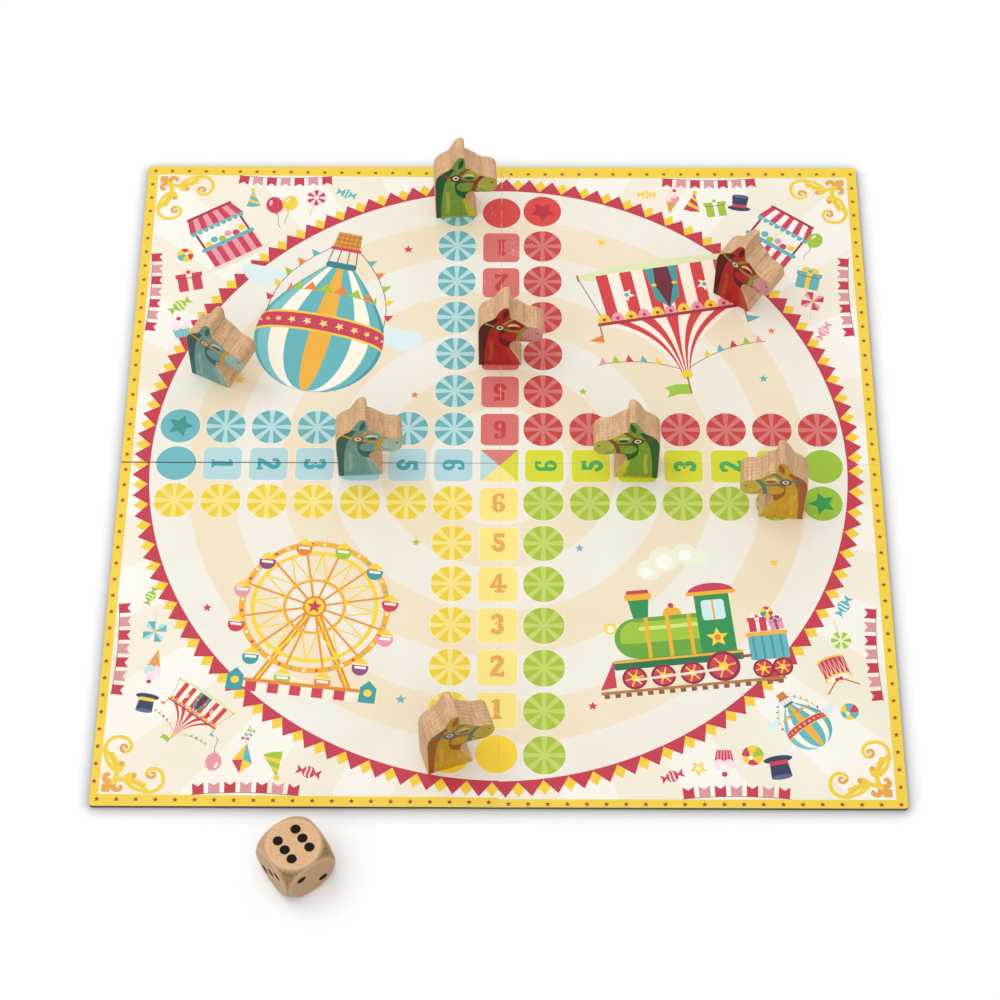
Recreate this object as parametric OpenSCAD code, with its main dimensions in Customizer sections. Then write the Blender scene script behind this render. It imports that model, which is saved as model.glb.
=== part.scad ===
// Quarter-folding cardboard race board, open and flat, with eight wooden horse pieces and a die.
// Millimetres, +Z up. The front of the set faces -Y. The origin is under the middle of the set, on the table.

/* [Board] */
// Side of the open square board
board_w = 280; // [240:1:320]
// Radius of the four outer corners of the board
corner_r = 1.2; // [0.4:0.1:4]
// Thickness of the greyboard core of a panel
core_t = 1.3; // [1:0.1:2.4]
// Thickness of the printed sheet on a panel
sheet_t = 0.2; // [0.1:0.05:0.4]
// Thickness of the backing paper under a panel
backing_t = 0.2; // [0.1:0.05:0.4]
// Gap between two panels at a creased seam
crease_gap = 0.3; // [0.2:0.05:0.6]
// Gap between two panels at the open cut
cut_gap = 0.6; // [0.4:0.1:1.2]

/* [Hinges] */
// Width of one leaf of a cloth hinge
leaf_w = 9; // [5:0.5:14]
// Thickness of the hinge cloth
cloth_t = 0.2; // [0.1:0.05:0.4]
// Side clearance between a leaf and what it is let into
leaf_clear = 0.2; // [0.1:0.05:0.5]

/* [Horses] */
// Height of a horse, base to ear tip
horse_h = 36.5; // [30:0.5:44]
// Thickness of the plank the horses are cut from
horse_t = 10; // [8:0.5:14]

/* [Die] */
// Distance across the flats of the die
die_w = 20; // [16:0.5:24]
// Radius of the ball that rounds the die, as a share of its width
die_round = 0.672; // [0.62:0.002:0.7]
// Turn of the die on the table
die_turn = 37; // [0:1:45]
// Clear table between the board and the die
die_gap = 9.2; // [4:0.2:20]
// Diameter of a pip, as a share of the die width
pip_share = 0.17; // [0.12:0.01:0.2]
// Depth of a drilled pip
pip_depth = 0.5; // [0.3:0.1:1]

/* [Hidden] */
$fn = 64;
half = board_w / 2;
core_z = backing_t;
sheet_z = core_z + core_t;
top_z = sheet_z + sheet_t;
cell = board_w * 17 / 280;

// Ball and flats of the die, and how far it reaches from its middle along Y
ball_r = die_w * die_round;
flat_r = sqrt(ball_r * ball_r - die_w * die_w / 4);
die_reach = die_turn < acos(die_w / 2 / ball_r) ? die_w / 2 * cos(die_turn) + flat_r * sin(die_turn) : ball_r;
pip_r = die_w * pip_share / 2;
pip_row = die_w * 0.203;
pip_column = die_w * 0.178;

// The board stands back so that the board and the die together are centred on the origin
board_y = die_gap / 2 + die_reach;
die_x = -67.6 * board_w / 280;
die_y = board_y - half - die_gap - die_reach;

// Where each horse stands, in cells from the middle of the board, and which way it faces
green_1_at = [-1.06, 7.04, 3.8];
green_2_at = [2.94, -0.07, 178.4];
red_1_at = [-0.02, 2.89, -0.3];
red_2_at = [5.34, 4.58, -34.4];
teal_1_at = [-6.3, 2.42, -26.3];
teal_2_at = [-3.04, -0.03, 3.3];
yellow_1_at = [6.03, -1.09, 176];
yellow_2_at = [-1.06, -7.09, 18.9];

// Outline of a horse head facing +X: each row is a cubic curve from point to point
horse_curves = [
    [[16.2, 0], [15.9, 3.6], [13.6, 7.6], [12.2, 11.2]],
    [[12.2, 11.2], [11.6, 12.8], [12.2, 14.9], [13.4, 15.4]],
    [[13.4, 15.4], [15, 16.1], [17.2, 14.9], [19.8, 14.7]],
    [[19.8, 14.7], [22.6, 14.5], [24.2, 16.6], [24.2, 19.6]],
    [[24.2, 19.6], [24.2, 22], [23.2, 23.8], [21.4, 24.2]],
    [[21.4, 24.2], [20.4, 24.4], [19.4, 24.5], [18.6, 24.9]],
    [[18.6, 24.9], [16.9, 25.9], [14.6, 29.4], [12.6, 29.9]],
    [[12.6, 29.9], [11.9, 30.1], [12.2, 32], [12, 33.4]],
    [[12, 33.4], [11.9, 35], [11.9, 36.5], [10.6, 36.5]],
    [[10.6, 36.5], [8.8, 36.5], [7.6, 33.4], [6.2, 30.2]],
    [[6.2, 30.2], [5.4, 28.6], [2.2, 27.9], [0.9, 24.9]],
    [[0.9, 24.9], [0.2, 23.4], [0, 21.5], [0, 19.5]]
];
horse_k = horse_h / horse_curves[8][3][1];
horse_base = horse_curves[0][0][0];
curve_steps = 7;

function bend(p, t) =
    pow(1 - t, 3) * p[0]
    + 3 * pow(1 - t, 2) * t * p[1]
    + 3 * (1 - t) * t * t * p[2]
    + t * t * t * p[3];

horse_outline = concat(
    [[0, 0]],
    [for (c = horse_curves) for (i = [0 : curve_steps - 1]) bend(c, i / curve_steps)],
    [horse_curves[len(horse_curves) - 1][3]]
);

grey = [0.55, 0.51, 0.45];
cream = [0.96, 0.92, 0.83];
kraft = [0.82, 0.78, 0.7];
cloth = [0.9, 0.88, 0.82];
beech = [0.87, 0.7, 0.52];

// Half the gap along the cross seam: cut on the left of the board, creased on the right
function cross_gap(sx) = (sx < 0 ? cut_gap : crease_gap) / 2;

// A block between two distances from each seam of a panel; sx and sy pick the quarter
module in_quarter(sx, sy, x0, x1, y0, y1, z0, t) {
    translate([sx < 0 ? -x1 : x0, board_y + (sy < 0 ? -y1 : y0), z0])
        cube([x1 - x0, y1 - y0, t]);
}

// What is trimmed off a panel to round its outer corner
module corner_trim(sx, sy, z0, t) {
    middle = half - corner_r;
    difference() {
        in_quarter(sx, sy, middle, half + 1, middle, half + 1, z0 - 1, t + 2);
        translate([sx * middle, board_y + sy * middle, z0 - 2])
            cylinder(r = corner_r, h = t + 4);
    }
}

// A layer of a panel, from a distance off the cross seam out to the flush-cut edges of the board
module layer(sx, sy, start, z0, t) {
    difference() {
        in_quarter(sx, sy, crease_gap / 2, half, start, half, z0, t);
        corner_trim(sx, sy, z0, t);
    }
}

// Core with the rebate that takes a hinge leaf under the printed sheet
module core(sx, sy) {
    difference() {
        layer(sx, sy, cross_gap(sx), core_z, core_t);
        in_quarter(sx, sy, 0, crease_gap / 2 + leaf_w + leaf_clear, 0, half + 1, sheet_z - cloth_t, cloth_t + 1);
    }
}

module sheet(sx, sy) {
    layer(sx, sy, cross_gap(sx), sheet_z, sheet_t);
}

// Backing paper; on the right it stops short of the leaf of the side hinge
module backing(sx, sy) {
    layer(sx, sy, sx < 0 ? cross_gap(sx) : cross_gap(sx) + leaf_w + leaf_clear, 0, backing_t);
}

// Leaf of a hinge along the rear or front seam, flush with the top of the core
module seam_leaf(sx, sy) {
    in_quarter(sx, sy, crease_gap / 2, crease_gap / 2 + leaf_w, cross_gap(sx), half, sheet_z - cloth_t, cloth_t);
}

// Leaf of the side hinge, flush with the backing paper
module side_leaf(sy) {
    in_quarter(1, sy, crease_gap / 2, half, crease_gap / 2, crease_gap / 2 + leaf_w, 0, backing_t);
}

// A horse head sawn from plank, standing on the printed sheet with its base middle at a given cell
module horse(at) {
    translate([at[0] * cell, board_y + at[1] * cell, top_z])
        rotate([0, 0, at[2]])
            translate([-horse_base * horse_k / 2, horse_t / 2, 0])
                rotate([90, 0, 0])
                    linear_extrude(height = horse_t)
                        polygon(horse_outline * horse_k);
}

// One drilled pip in the face that looks along +Z, at a place on that face
module pip(x, y) {
    translate([x, y, die_w / 2 - pip_depth])
        cylinder(r = pip_r, h = pip_depth + 1);
}

// The pips of each count, on the face that looks along +Z
module pips(count) {
    if (count % 2 == 1) pip(0, 0);
    if (count > 1 && count < 6) {
        pip(-pip_row, pip_row);
        pip(pip_row, -pip_row);
    }
    if (count == 4 || count == 5) {
        pip(pip_row, pip_row);
        pip(-pip_row, -pip_row);
    }
    if (count == 6) {
        for (sx = [-1, 1]) for (i = [-1 : 1]) pip(sx * pip_column, i * pip_row);
    }
}

// A cube rounded by a ball, so that each face is a round flat; opposite faces add up to seven
module die() {
    color(beech)
        translate([die_x, die_y, die_w / 2])
            rotate([0, 0, die_turn])
                difference() {
                    intersection() {
                        cube(die_w, center = true);
                        sphere(r = ball_r);
                    }
                    pips(6);
                    rotate([180, 0, 0]) pips(1);
                    rotate([90, 0, 0]) pips(2);
                    rotate([-90, 0, 0]) pips(5);
                    rotate([0, -90, 0]) pips(3);
                    rotate([0, 90, 0]) pips(4);
                }
}

module core_rear_left() color(grey) core(-1, 1);
module core_rear_right() color(grey) core(1, 1);
module core_front_right() color(grey) core(1, -1);
module core_front_left() color(grey) core(-1, -1);

module sheet_rear_left() color(cream) sheet(-1, 1);
module sheet_rear_right() color(cream) sheet(1, 1);
module sheet_front_right() color(cream) sheet(1, -1);
module sheet_front_left() color(cream) sheet(-1, -1);

module backing_rear_left() color(kraft) backing(-1, 1);
module backing_rear_right() color(kraft) backing(1, 1);
module backing_front_right() color(kraft) backing(1, -1);
module backing_front_left() color(kraft) backing(-1, -1);

module hinge_rear_left_leaf() color(cloth) seam_leaf(-1, 1);
module hinge_rear_right_leaf() color(cloth) seam_leaf(1, 1);
module hinge_front_left_leaf() color(cloth) seam_leaf(-1, -1);
module hinge_front_right_leaf() color(cloth) seam_leaf(1, -1);
module hinge_side_rear_leaf() color(cloth) side_leaf(1);
module hinge_side_front_leaf() color(cloth) side_leaf(-1);

module horse_green_1() color([0.45, 0.66, 0.28]) horse(green_1_at);
module horse_green_2() color([0.45, 0.66, 0.28]) horse(green_2_at);
module horse_red_1() color([0.74, 0.16, 0.15]) horse(red_1_at);
module horse_red_2() color([0.74, 0.16, 0.15]) horse(red_2_at);
module horse_teal_1() color([0.38, 0.6, 0.61]) horse(teal_1_at);
module horse_teal_2() color([0.38, 0.6, 0.61]) horse(teal_2_at);
module horse_yellow_1() color([0.83, 0.62, 0.15]) horse(yellow_1_at);
module horse_yellow_2() color([0.83, 0.62, 0.15]) horse(yellow_2_at);

core_rear_left();
core_rear_right();
core_front_right();
core_front_left();
sheet_rear_left();
sheet_rear_right();
sheet_front_right();
sheet_front_left();
backing_rear_left();
backing_rear_right();
backing_front_right();
backing_front_left();
hinge_rear_left_leaf();
hinge_rear_right_leaf();
hinge_front_left_leaf();
hinge_front_right_leaf();
hinge_side_rear_leaf();
hinge_side_front_leaf();
horse_green_1();
horse_green_2();
horse_red_1();
horse_red_2();
horse_teal_1();
horse_teal_2();
horse_yellow_1();
horse_yellow_2();
die();
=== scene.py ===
"""Looks of the folding race board, its eight wooden horses and the die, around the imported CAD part."""

import math
import random

import bpy
from mathutils import Matrix, Vector
from mathutils.geometry import delaunay_2d_cdt


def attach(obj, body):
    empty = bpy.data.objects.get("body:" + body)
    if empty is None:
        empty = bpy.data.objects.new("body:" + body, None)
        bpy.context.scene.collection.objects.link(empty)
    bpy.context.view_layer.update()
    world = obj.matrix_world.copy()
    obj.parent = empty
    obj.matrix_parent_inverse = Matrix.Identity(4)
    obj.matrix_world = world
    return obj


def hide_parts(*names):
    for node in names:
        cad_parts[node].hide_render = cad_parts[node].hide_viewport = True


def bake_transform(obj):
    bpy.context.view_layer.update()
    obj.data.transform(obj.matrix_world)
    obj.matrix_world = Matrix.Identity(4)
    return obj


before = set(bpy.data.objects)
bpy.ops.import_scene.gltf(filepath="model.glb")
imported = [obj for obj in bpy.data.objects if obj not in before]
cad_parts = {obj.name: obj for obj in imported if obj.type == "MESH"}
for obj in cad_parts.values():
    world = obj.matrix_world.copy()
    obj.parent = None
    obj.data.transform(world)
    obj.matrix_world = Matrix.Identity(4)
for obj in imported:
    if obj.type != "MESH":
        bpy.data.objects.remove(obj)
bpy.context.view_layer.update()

# Sizes in mm, as in the CAD part
MM = 0.001
BOARD_Y = 17.990  # middle of the board in the shared frame
HALF, CORNER_R, TOP_Z, SHEET_T = 140.0, 1.2, 1.7, 0.2
CELL, ROUND = 17.0, 7.4  # from one playing place to the next, and the radius of a place
CREASE, CUT = 0.15, 0.3  # half the gaps between panels
QUARTERS = {"rear_left": (-1, 1), "rear_right": (1, 1), "front_right": (1, -1), "front_left": (-1, -1)}
# Half the gaps between the printed sheets: over the three creases, and at both ends of the cut
REAR_GAP, FRONT_GAP, SIDE_GAP, CUT_GAP = 0.05, 0.015, 0.035, (0.12, 0.26)
# How far the print of each quarter sits off the middle of the board, in x and y, and how much its y
# gains over the width and over the length of the quarter
SHIFTS = {
    "rear_left": (-0.2, -2.2, 1.5, 1.0), "rear_right": (-1.1, -2.1, 0.1, 1.0),
    "front_right": (-1.15, -0.4, 0.4, -1.0), "front_left": (-0.3, -0.5, 1.2, -0.6),
}
# Where the border's stars run on each quarter, at the fold and at the corner: on its side, then its end
STAR_ROWS = {
    "rear_left": ((138.0, 137.9), (136.4, 137.7)), "rear_right": ((137.7, 137.9), (136.35, 136.8)),
    "front_right": ((137.75, 138.0), (138.9, 138.6)), "front_left": ((138.0, 138.9), (138.3, 137.5)),
}
# The ring of flags on each quarter: the angle from one red flag to the next, and of the first
RINGS = {
    "rear_right": (3.85, 0.20), "rear_left": (3.85, 1.08),
    "front_left": (3.85, 1.63), "front_right": (3.871, 0.59),
}
# The four lanes: direction, turn of the digits, how far a lane lies off its line at the middle and at its
# end, and how far its digits sit off the middles of their squares
LANES = {
    "teal": ((-1, 0), -90, (-0.2, -1.0), (-0.6, -0.4), (0.0, 0.0)),
    "red": ((0, 1), 180, (-0.3, -2.1), (0.0, -2.1), (0.0, 0.0)),
    "green": ((1, 0), 90, (-0.85, -1.1), (-0.1, -1.1), (0.6, 0.0)),
    "yellow": ((0, -1), 0, (-0.4, -0.95), (-0.75, -0.85), (0.0, 0.6)),
}
DIE_W, DIE_TURN = 20.0, 37.0
DIE_GAP, DIE_REACH = 9.2, 13.390  # from the board to the die, and from the die's edge to its middle
DIE_AT = (-67.6, BOARD_Y - HALF - DIE_GAP - DIE_REACH)

# Inks of the board's pattern
WHITE, HALO, CREAM, TAN, PALE = "#f6f3eb", "#f6f2e7", "#efebe1", "#efe1c5", "#f1ebda"
BORDER, STAR_RED, CRIMSON, PINK, SHEET_EDGE = "#f0d042", "#ae3d38", "#c2374c", "#d8969c", "#efe9dc"
GOLD, GOLD_SHADE, GOLD_DARK = "#efcf3e", "#e6bb3a", "#e3a64e"
TEAM_PARTS = "dark light square digit end star".split()
TEAM_INKS = {
    "teal": "#6bb1b7 #b6dbde #b5d7dd #3ba3b1 #6db6c1 #3f948f",
    "red": "#c53f3e #d57571 #d66f6a #c93a3f #d94643 #b9273b",
    "green": "#a7c139 #c1d468 #d6da2e #45ab50 #9ac034 #2c9a4c",
    "yellow": "#edce36 #f6e38a #f9e585 #e6aa4f #fbd838 #e3a03a",
}
TEAM = {team: dict(zip(TEAM_PARTS, inks.split(), strict=True)) for team, inks in TEAM_INKS.items()}
# Inks of the pictures and the small motifs
ROSE, BLUE, SUN, LEAF, BLUSH, ORANGE = "#cb3d57", "#63b4bb", "#f4ce3c", "#9fc53a", "#e79aa8", "#e7833c"
SEA, BRASS, LEMON, YOLK, WINE, BRICK = "#3d9aa0", "#f0b12e", "#f6d43a", "#f4c542", "#8f2440", "#a82f3d"
MILK, PAPER, SNOW, ICING, BUTTER, SAND = "#fbeee0", "#fdf6e6", "#fbeff0", "#f7dfe2", "#fdf3c6", "#f7e4c4"
VANILLA, MIST, PEAR, STICK, NAVY = "#fbf3e2", "#e3f2f3", "#e7f0c0", "#e9dcc6", "#2f3a5a"
CORD, POLE, BROWN, PLUM, TANGERINE, PINE = "#7a5a45", "#a8774a", "#8a5a3a", "#8a4a86", "#e08a2c", "#2f8f4e"
# Inks of the horses
COAT_PARTS = "body chest streak brow mane jaw strap knot muzzle lid".split()
COAT_INKS = {
    "red": "#bd2625 #c63f30 #b9522f #a12223 #501617 #6e1619 #98a23c #4f5a20 #e09ca1 #f2dcae",
    "teal": "#6fa8aa #8fbdba #95b8a2 #93b3a5 #2f6769 #2f656b #dda02a #a9601f #b0ccc4 #ece7bc",
    "green": "#82aa3c #d1d02e #bfc635 #c6c22e #22602f #22602f #94402a #5f2619 #bdc456 #e8e6a4",
    "yellow": "#d9ab24 #dab532 #dfbd40 #bca838 #b06624 #a86424 #5e8681 #3d5f63 #d6bd4a #efdf9e",
}
COATS = {coat: dict(zip(COAT_PARTS, inks.split(), strict=True)) for coat, inks in COAT_INKS.items()}
BUTTON = "#efe2d6"


def rgb(code):
    """A written colour as linear light."""
    out = []
    for i in (1, 3, 5):
        c = int(code[i:i + 2], 16) / 255
        out.append(c / 12.92 if c <= 0.04045 else ((c + 0.055) / 1.055) ** 2.4)
    return (*out, 1.0)


def cosine(angle):
    return math.cos(math.radians(angle))


def sine(angle):
    return math.sin(math.radians(angle))


# Flat drawing: a drawing is a list of (colour, points) in mm, later shapes over earlier ones


def polar(r, angle, x=0.0, y=0.0, ry=None):
    """The point at that angle on a circle about (x, y), or on an ellipse of half height ry."""
    return (x + r * cosine(angle), y + (r if ry is None else ry) * sine(angle))


def turned(points, x=0.0, y=0.0, turn=0.0, size=1.0):
    c, s = cosine(turn), sine(turn)
    sized = [(px * size, py * size) for px, py in points]
    return [(x + c * px - s * py, y + s * px + c * py) for px, py in sized]


def put(shapes, x=0.0, y=0.0, turn=0.0, size=1.0):
    return [(c, turned(p, x, y, turn, size)) for c, p in shapes]


def printed(shapes, quarter):
    """A drawing moved to where the sheet of that quarter carries it."""
    dx, dy, across, along = SHIFTS[quarter]
    return [
        (c, [(x + dx, y + dy + (across * abs(x) + along * abs(y)) / HALF) for x, y in p])
        for c, p in shapes
    ]


def arc(x, y, r, a0, a1, n, ry=None):
    return [polar(r, a0 + (a1 - a0) * i / n, x, y, ry) for i in range(n + 1)]


def disc(x, y, r, n, ry=None, turn=0.0):
    return turned(arc(0, 0, r, 0, 360, n, ry)[:-1], x, y, turn)


def box(x0, y0, x1, y1, r=0.0):
    """A rectangle, with round corners where r is given."""
    if r <= 0:
        return [(x0, y0), (x1, y0), (x1, y1), (x0, y1)]
    out = []
    for x, y, a in ((x1 - r, y0 + r, -90), (x1 - r, y1 - r, 0), (x0 + r, y1 - r, 90), (x0 + r, y0 + r, 180)):
        out += arc(x, y, r, a, a + 90, 4)
    return out


def star(x, y, r, inner=0.45, turn=90.0):
    """A five-pointed star."""
    return [polar(r * inner if i % 2 else r, turn + 180 * i / 5, x, y) for i in range(10)]


def bezier(p0, p1, p2, p3, n=8):
    out = []
    for i in range(n + 1):
        t = i / n
        a, b, c, d = (1 - t) ** 3, 3 * (1 - t) ** 2 * t, 3 * (1 - t) * t * t, t ** 3
        out.append(tuple(a * p0[q] + b * p1[q] + c * p2[q] + d * p3[q] for q in (0, 1)))
    return out


def path(*runs):
    """Runs of points joined end to end, with doubled points left out."""
    out = []
    for run in runs:
        for q in run:
            if not out or math.dist(out[-1], q) > 1e-4:
                out.append(q)
    return out


def chain(start, *curves):
    """Curves that run on from one another, each by its two handles, its end and its number of steps."""
    out = [start]
    for curve in curves:
        out = path(out, bezier(out[-1], *curve))
    return out


def stroke(points, width, end=None):
    """Outline of a line of that width, or of one that tapers to end."""
    n, left, right = len(points), [], []
    for i, (x, y) in enumerate(points):
        a, b = points[max(i - 1, 0)], points[min(i + 1, n - 1)]
        dx, dy = b[0] - a[0], b[1] - a[1]
        d = math.hypot(dx, dy) or 1.0
        w = (width if end is None else width + (end - width) * i / (n - 1)) / 2
        k = 1.0  # more at a bend, so that the line keeps its width there
        if 0 < i < n - 1:
            u, v = (x - a[0], y - a[1]), (b[0] - x, b[1] - y)
            bend = (u[0] * v[0] + u[1] * v[1]) / ((math.hypot(*u) * math.hypot(*v)) or 1.0)
            k = min(1.6, 1 / math.sqrt(max(0.2, (1 + bend) / 2)))
        left.append((x - dy / d * w * k, y + dx / d * w * k))
        right.append((x + dy / d * w * k, y - dx / d * w * k))
    return left + right[::-1]


def ring(colour, x, y, r, width, n):
    """A closed band, as a fan of quads."""
    out, near, far = [], r - width / 2, r + width / 2
    for i in range(n):
        a, b = 360 * i / n, 360 * (i + 1) / n
        corners = ((near, a), (far, a), (far, b), (near, b))
        out.append((colour, [polar(reach, angle, x, y) for reach, angle in corners]))
    return out


def steps(start, width, n):
    """Both ends of each of n equal steps."""
    return [(start + width * i / n, start + width * (i + 1) / n) for i in range(n)]


# The pattern of the game


def spurs(x, y):
    """The two small side points of a block digit."""
    return [[(s * (x - 0.3), y + 0.7), (s * (x + 0.35), y), (s * (x - 0.3), y - 0.7)] for s in (-1, 1)]


def digit(number, colour, ground):
    """A fat block digit, 8.2 mm high, about its own middle."""
    parts = {
        1: [
            box(-1.0, -4.0, 1.0, 3.9), box(-1.8, -4.0, 1.8, -3.0, 0.3), *spurs(1.0, 0),
            [(-1.8, 2.2), (-0.7, 2.6), (-0.3, 3.9), (-0.8, 3.9), (-1.8, 2.9)],
        ],
        2: [
            stroke(path(arc(-0.1, 2.05, 1.5, 140, -35, 10), [(-1.5, -2.9)]), 1.9),
            box(-2.4, 1.4, -1.1, 3.7, 0.3),
            [(-2.5, -4.1), (-2.5, -2.7), (-1.2, -2.3), (1.2, -2.8)]
            + [(1.8, -1.9), (2.6, -2.2), (2.5, -4.4), (1.4, -4.0)],
        ],
        3: [
            stroke(arc(-0.1, 2.05, 1.35, 135, -75, 10), 1.8),
            stroke(arc(-0.1, -1.75, 1.5, 80, -135, 12), 1.85),
            box(-2.2, 1.7, -1.0, 3.8, 0.3), box(-2.2, -3.8, -1.0, -1.6, 0.3), disc(-0.5, 0.3, 0.6, 10),
        ],
        4: [
            [(-0.1, 3.9), (1.4, 3.9), (1.4, -2.1), (-3.0, -2.1), (-3.0, -1.3)], box(-0.2, -4.0, 1.4, -1.0),
            box(-1.2, -4.0, 2.4, -2.9, 0.5), box(1.0, -2.1, 2.4, -0.9), disc(2.4, -1.5, 0.95, 12),
        ],
        5: [
            box(-1.7, 2.3, 2.0, 3.9), box(-1.7, 0.1, -0.3, 3.9),
            [(1.2, 3.8), (2.2, 4.4), (2.3, 1.8), (1.4, 2.4)],
            stroke(arc(0.05, -1.4, 1.5, 130, -165, 14, 1.75), 1.8), disc(-1.6, -1.7, 0.9, 12),
        ],
        6: [
            disc(0, -1.75, 2.35, 24), box(-2.3, -1.8, -0.6, 2.4), *spurs(2.3, -1.8),
            path(arc(0.0, 2.2, 2.3, 180, 60, 8, 1.9), arc(0.0, 2.2, 0.6, 60, 180, 5, 0.7)),
            box(0.7, 1.7, 2.0, 4.1, 0.2),
        ],
    }
    holes = {4: [(-1.3, -0.7), (0.0, -0.7), (0.0, 1.2)], 6: disc(0, -1.75, 0.6, 14, 1.25)}
    out = [(colour, p) for p in parts[number]]
    if number in holes:
        out.append((ground, holes[number]))
    return out


def rounds(colour, x, y):
    """A round with its pale halo."""
    return [(HALO, disc(x, y, ROUND + 0.2, 40)), (colour, disc(x, y, ROUND, 40))]


def wheel(team, x, y):
    """A playing place: a round of eight pale spokes on a darker ground."""
    out = rounds(TEAM[team]["light"], x, y)
    for i in range(8):
        a = 22.5 + 45 * i
        out.append((TEAM[team]["dark"], [polar(1.35, a, x, y)] + arc(x, y, ROUND, a - 14.0, a + 14.0, 4)))
    return out


def track():
    """The playing places beside the four lanes, with a star that points the way on each starting place."""
    out = []
    starred = {(-7, 1): 0, (1, 7): 270, (7, -1): 180, (-1, -7): 90}
    for team, (sx, sy) in zip(TEAM, QUARTERS.values(), strict=True):
        for i, j in sorted({(1, k) for k in range(1, 8)} | {(k, 1) for k in range(1, 8)}):
            x, y = sx * i * CELL, sy * j * CELL
            if (sx * i, sy * j) in starred:
                out += rounds(TEAM[team]["end"], x, y)
                out.append((TEAM[team]["star"], star(x, y, 5.0, 0.5, starred[sx * i, sy * j])))
            else:
                out += wheel(team, x, y)
    return out


def lanes():
    """The four lanes of squares and the middle, which run on over the folds, in board coordinates."""
    out = []
    for team, ((dx, dy), turn, inner, outer, nudge) in LANES.items():
        k = TEAM[team]
        for n in range(7):
            t = (7 - n) / 7
            x = dx * CELL * (7 - n) + inner[0] + (outer[0] - inner[0]) * t
            y = dy * CELL * (7 - n) + inner[1] + (outer[1] - inner[1]) * t
            if n == 0:
                out += rounds(k["end"], x, y)
                continue
            for colour, half, r in ((HALO, 7.3, 2.3), (k["square"], 7.08, 2.1)):
                out.append((colour, box(x - half, y - half, x + half, y + half, r)))
            out += put(digit(n, k["digit"], k["square"]), x + nudge[0], y + nudge[1], turn)
    middle = [(WHITE, box(-7.4, -7.4, 7.4, 7.4, 2.0))]
    wedge = [(0, 0), (6.9, 6.9), (6.7, 7.05), (-6.7, 7.05), (-6.9, 6.9)]
    for side, colour in enumerate(("#d97c76", "#b9dbde", "#fae68b", "#d6da34")):
        middle.append((colour, turned(wedge, turn=90 * side)))
    return out + put(middle, -0.3, -1.1)


def bunting():
    """Seven swallow-tailed flags on a sagging string, along +X and hanging towards -Y."""
    reach = 18.6
    sag = lambda x: -1.0 * (1 - (x / reach) ** 2)
    flag = [(-1.95, 0), (-1.95, -4.3), (0, -3.0), (1.95, -4.3), (1.95, 0)]
    string = [(x, sag(x)) for x in (-reach, -15, -10, -5, 0, 5, 10, 15, reach)]
    out = [("#5d4a48", stroke(string, 0.24))]
    for i in range(7):
        x = -16.2 + 5.4 * i
        slope = math.degrees(math.atan(2 * x / reach ** 2))
        out.append((PINK if i % 2 else CRIMSON, turned(flag, x, sag(x), slope)))
    return out


def scroll():
    """Leafy scroll ornament for a corner at the origin, running along +X and along +Y."""
    half = [
        # stem, and a plump leaf with a scalloped end
        (GOLD, stroke(bezier((4.4, 4.8), (6.0, 5.6), (7.4, 5.9), (9.4, 6.0)), 1.9, 1.7)),
        (GOLD, path(
            bezier((8.4, 5.3), (9.6, 3.0), (12.2, 1.0), (16.6, 0.6), 10),
            bezier((18.2, 1.5), (17.0, 2.0), (16.5, 2.6), (16.2, 3.3), 5),
            [(16.5, 4.0), (15.6, 4.8), (14.8, 4.9), (13.9, 5.8), (12.8, 5.8)],
            bezier((12.2, 6.5), (11.2, 7.3), (10.0, 7.3), (8.9, 6.7), 6),
        )),
        # its folds: a slit of light and a line of shade
        ("#fbf4d6", path(
            bezier((11.3, 4.4), (12.2, 3.3), (13.4, 2.5), (14.9, 2.1), 6), [(13.4, 3.2), (12.3, 4.0)],
        )),
        (GOLD_SHADE, stroke(bezier((11.2, 5.6), (12.4, 4.6), (13.6, 3.8), (15.4, 3.4), 6), 0.55, 0.3)),
        # the small curl under the leaf
        (GOLD, stroke(bezier((8.9, 6.5), (9.8, 7.9), (11.3, 8.3), (12.5, 7.6)), 1.3, 1.1)),
        (GOLD_DARK, disc(11.9, 7.3, 0.95, 14)),
        # the open scroll
        (GOLD, stroke(chain(
            (15.4, 1.2), ((19.8, 0.5), (22.5, 3.0), (22.1, 6.4), 10),
            ((21.7, 9.2), (19.8, 10.3), (18.3, 10.1)), ((16.5, 9.9), (15.8, 8.4), (16.5, 7.3)),
        ), 1.5, 1.15)),
        (GOLD_DARK, stroke(chain(
            (16.3, 7.9), ((16.7, 6.3), (18.9, 6.2), (19.0, 7.6)), ((19.0, 8.7), (17.8, 8.8), (17.7, 8.0), 6),
        ), 1.35, 0.9)),
        # one hooked side lobe of the corner flower
        (GOLD_DARK, stroke(bezier((4.8, 4.6), (4.6, 1.8), (6.8, 1.0), (8.0, 2.9), 10), 2.4, 1.5)),
        (GOLD_DARK, disc(7.6, 3.0, 0.8, 12)),
    ]
    other_half = [(c, [(y, x) for x, y in p]) for c, p in half]
    return half + other_half + [(GOLD_DARK, box(1.0, 1.0, 4.1, 4.1, 0.5)), (GOLD, disc(4.9, 4.9, 1.1, 16))]


# Small fairground motifs, each about its own middle with its top towards +Y


def balloon(colour, shine):
    return [
        ("#8a6f66", stroke(bezier((0, -4.4), (1.6, -7), (-1.4, -9), (0.4, -12), 6), 0.28)),
        (colour, disc(0, 0, 3.5, 26, 4.3)), (colour, [(-0.8, -4.9), (0.8, -4.9), (0, -3.9)]),
        (shine, disc(-1.3, 1.5, 0.7, 10, 1.4, -18)),
    ]


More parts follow.
